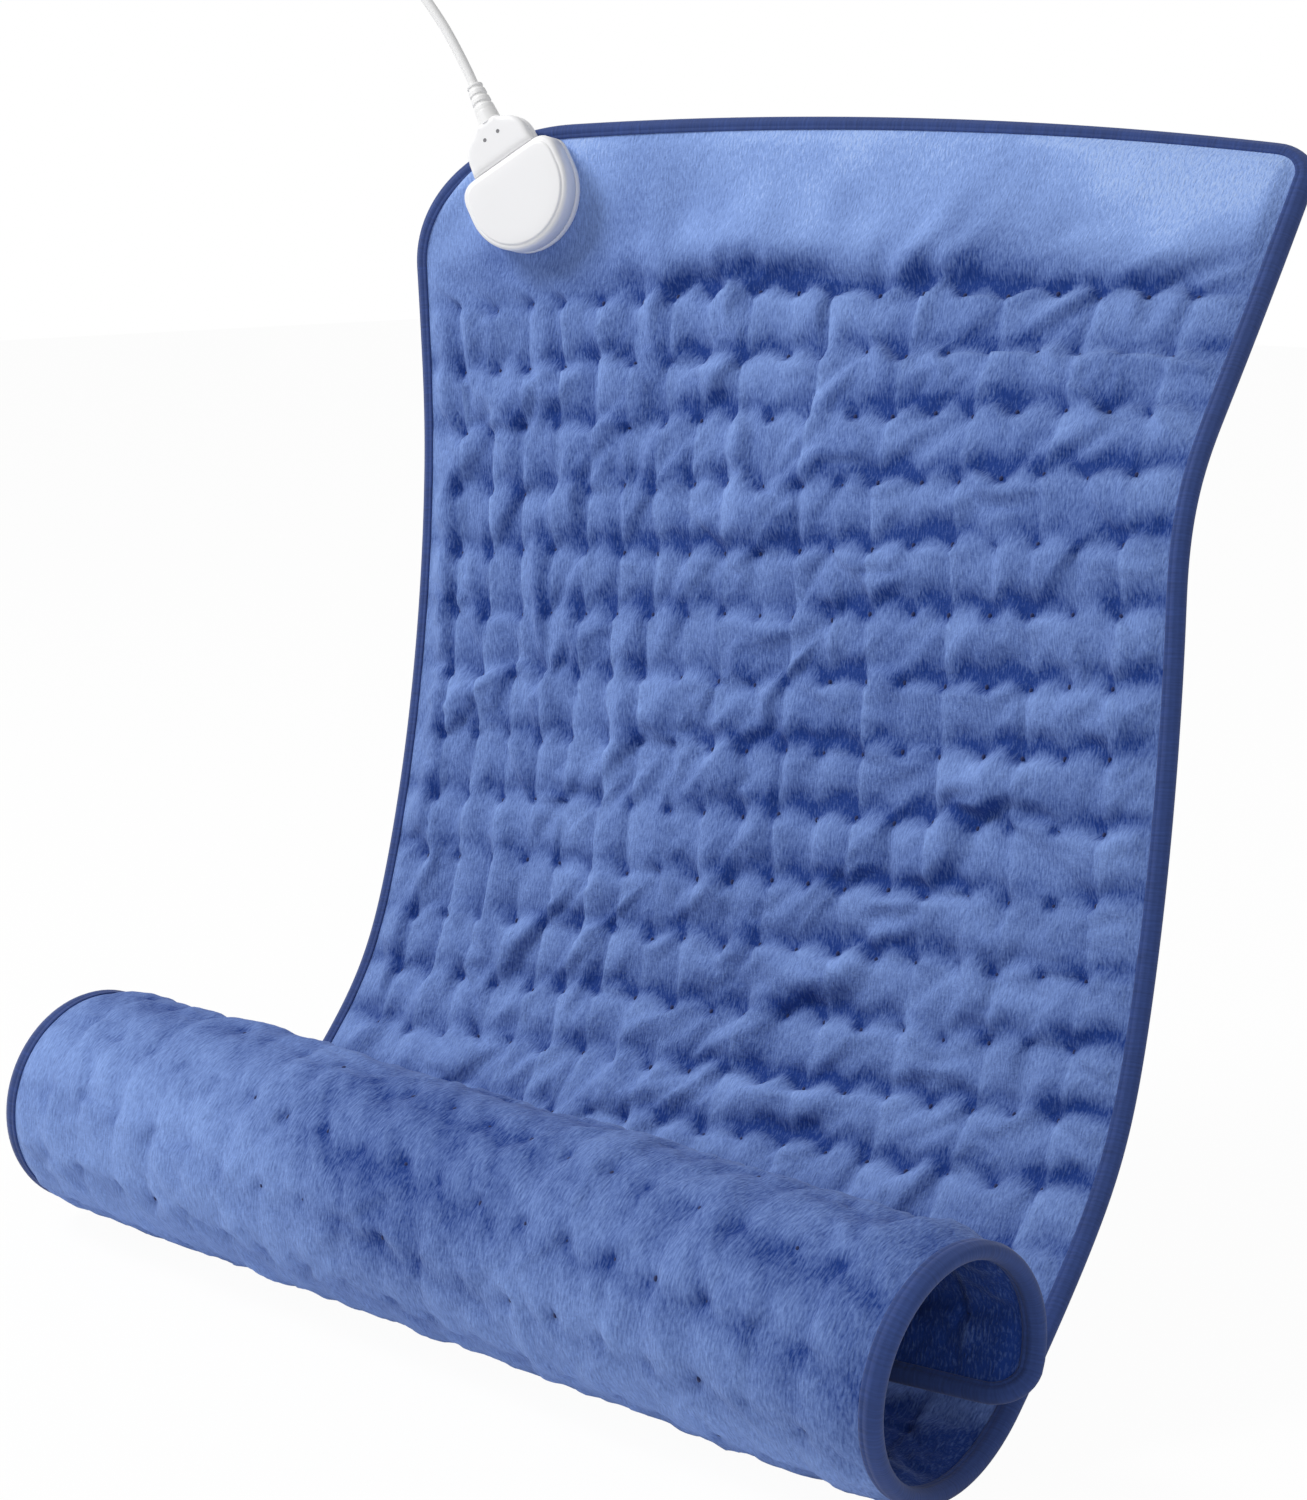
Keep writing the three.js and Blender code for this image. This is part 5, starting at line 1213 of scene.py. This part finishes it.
class HEATPAD_OT_connector(bpy.types.Operator):
    """Dock on the pad, the plug in it and the plug's ribbed strain relief"""

    bl_idname = "heatpad.connector"
    bl_label = "Build connector"

    def execute(self, context):
        low = TONGUE_MIDDLE - PLUG_DEPTH
        high = TONGUE_MIDDLE + PLUG_DEPTH
        foot = [(1.0, -0.4), (0.3, 0.4), (0.0, 1.2), (0.0, 3.6), (0.25, 3.95), (0.9, 4.0)]
        housing = [
            (0.9, 4.3), (0.25, 4.35), (0.0, 4.7), (0.0, 11.7), (0.15, 12.5), (0.6, 13.2), (1.2, 13.6),
            (1.7, 13.7), (2.1, 13.7), (2.3, 13.85), (2.45, 14.25), (2.8, 14.5), (3.4, 14.6),
        ]
        lower = [
            (1.6, low), (0.7, low + 0.25), (0.15, low + 0.8), (0.0, low + 1.6), (0.0, TONGUE_MIDDLE - 0.5),
            (0.35, TONGUE_MIDDLE - 0.1),
        ]
        upper = [
            (0.35, TONGUE_MIDDLE + 0.1), (0.0, TONGUE_MIDDLE + 0.5), (0.0, high - 2.0), (0.2, high - 1.1),
            (0.8, high - 0.4), (1.8, high), (3.0, high + 0.15),
        ]
        for name, outline, profile, centre, body, node in (
            ("dock_foot", dock_outline, foot, DOCK_MIDDLE, "pad", "dock_base"),
            ("dock_housing", dock_outline, housing, DOCK_MIDDLE, "pad", "dock_shell"),
            ("plug_underside", plug_outline, lower, PLUG_MIDDLE, "lead", "plug_lower_shell"),
            ("plug_top", plug_outline, upper, PLUG_MIDDLE, "lead", "plug_upper_shell"),
        ):
            piece = lofted(name, outline, profile, centre)
            dress(piece, moulded("white_shell"), body)
            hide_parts(node)
        start = PLUG_END - 1.0
        ribbed = ribbed_profile(start, RELIEF_TIP - start, *RELIEF_RADII, RELIEF_RIBS)
        boot = turned_piece("plug_boot", ribbed, 32, lambda p: dock_point(p + (0, 0, TONGUE_MIDDLE)))
        dress(boot, moulded("white_cord"), "lead")
        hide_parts("plug_relief")
        # Pin holes: two dark grey cups that sit on the plug's top and stand in for the shade inside its
        # holes, as painted shade.
        for k, x in enumerate((-DIMPLE_ACROSS, DIMPLE_ACROSS)):
            cup = turned_piece("plug_dimple_%d" % (k + 1), [
                (0.001, 0.0), (0.8, 0.0), (0.95, 0.12), (0.8, 0.2), (0.5, 0.1), (0.001, 0.05),
            ], 20, lambda p, x=x: dock_point(p[:, (0, 2, 1)] + (x, DIMPLE_ALONG, high + 0.1)))
            dress(cup, moulded("dimple"), "lead")
        return {"FINISHED"}


class HEATPAD_OT_parts(bpy.types.Operator):
    """Finishes of the pieces that keep their own CAD surfaces"""

    bl_idname = "heatpad.parts"
    bl_label = "Finish parts"

    def execute(self, context):
        for part in frame["record"]["subparts"]:
            node = NODES[part["node"]]
            if node.hide_render:
                continue
            node.data.materials.clear()
            node.data.materials.append(moulded(part["material_slot"]))
        return {"FINISHED"}


class HEATPAD_PT_panel(bpy.types.Panel):
    """Sidebar panel with the settings and the build steps"""

    bl_idname = "HEATPAD_PT_panel"
    bl_label = "Heating pad"
    bl_space_type = "VIEW_3D"
    bl_region_type = "UI"
    bl_category = "Heating pad"

    def draw(self, context):
        for name, group in GROUPS:
            box = self.layout.box()
            for setting in group.__annotations__:
                box.prop(getattr(context.scene, name), setting)
        for operator in OPERATORS:
            self.layout.operator(operator.bl_idname)


GROUPS = (
    ("heatpad_stage", StageSettings), ("heatpad_cord", CordSettings), ("heatpad_quilt", QuiltSettings),
)
OPERATORS = (
    HEATPAD_OT_stage, HEATPAD_OT_cords, HEATPAD_OT_quilt, HEATPAD_OT_binding, HEATPAD_OT_connector,
    HEATPAD_OT_parts,
)


def register():
    """Adds the settings, the operators and the panel."""
    for name, group in GROUPS:
        bpy.utils.register_class(group)
        setattr(bpy.types.Scene, name, bpy.props.PointerProperty(type=group))
    for operator in OPERATORS:
        bpy.utils.register_class(operator)
    bpy.utils.register_class(HEATPAD_PT_panel)


def unregister():
    """Takes the panel, the operators and the settings away again."""
    bpy.utils.unregister_class(HEATPAD_PT_panel)
    for operator in reversed(OPERATORS):
        bpy.utils.unregister_class(operator)
    for name, group in reversed(GROUPS):
        delattr(bpy.types.Scene, name)
        bpy.utils.unregister_class(group)


def main():
    """Builds everything in order."""
    register()
    bpy.ops.heatpad.stage()
    bpy.ops.heatpad.cords()
    bpy.ops.heatpad.quilt()
    bpy.ops.heatpad.binding()
    bpy.ops.heatpad.connector()
    bpy.ops.heatpad.parts()


if __name__ == "__main__":
    main()
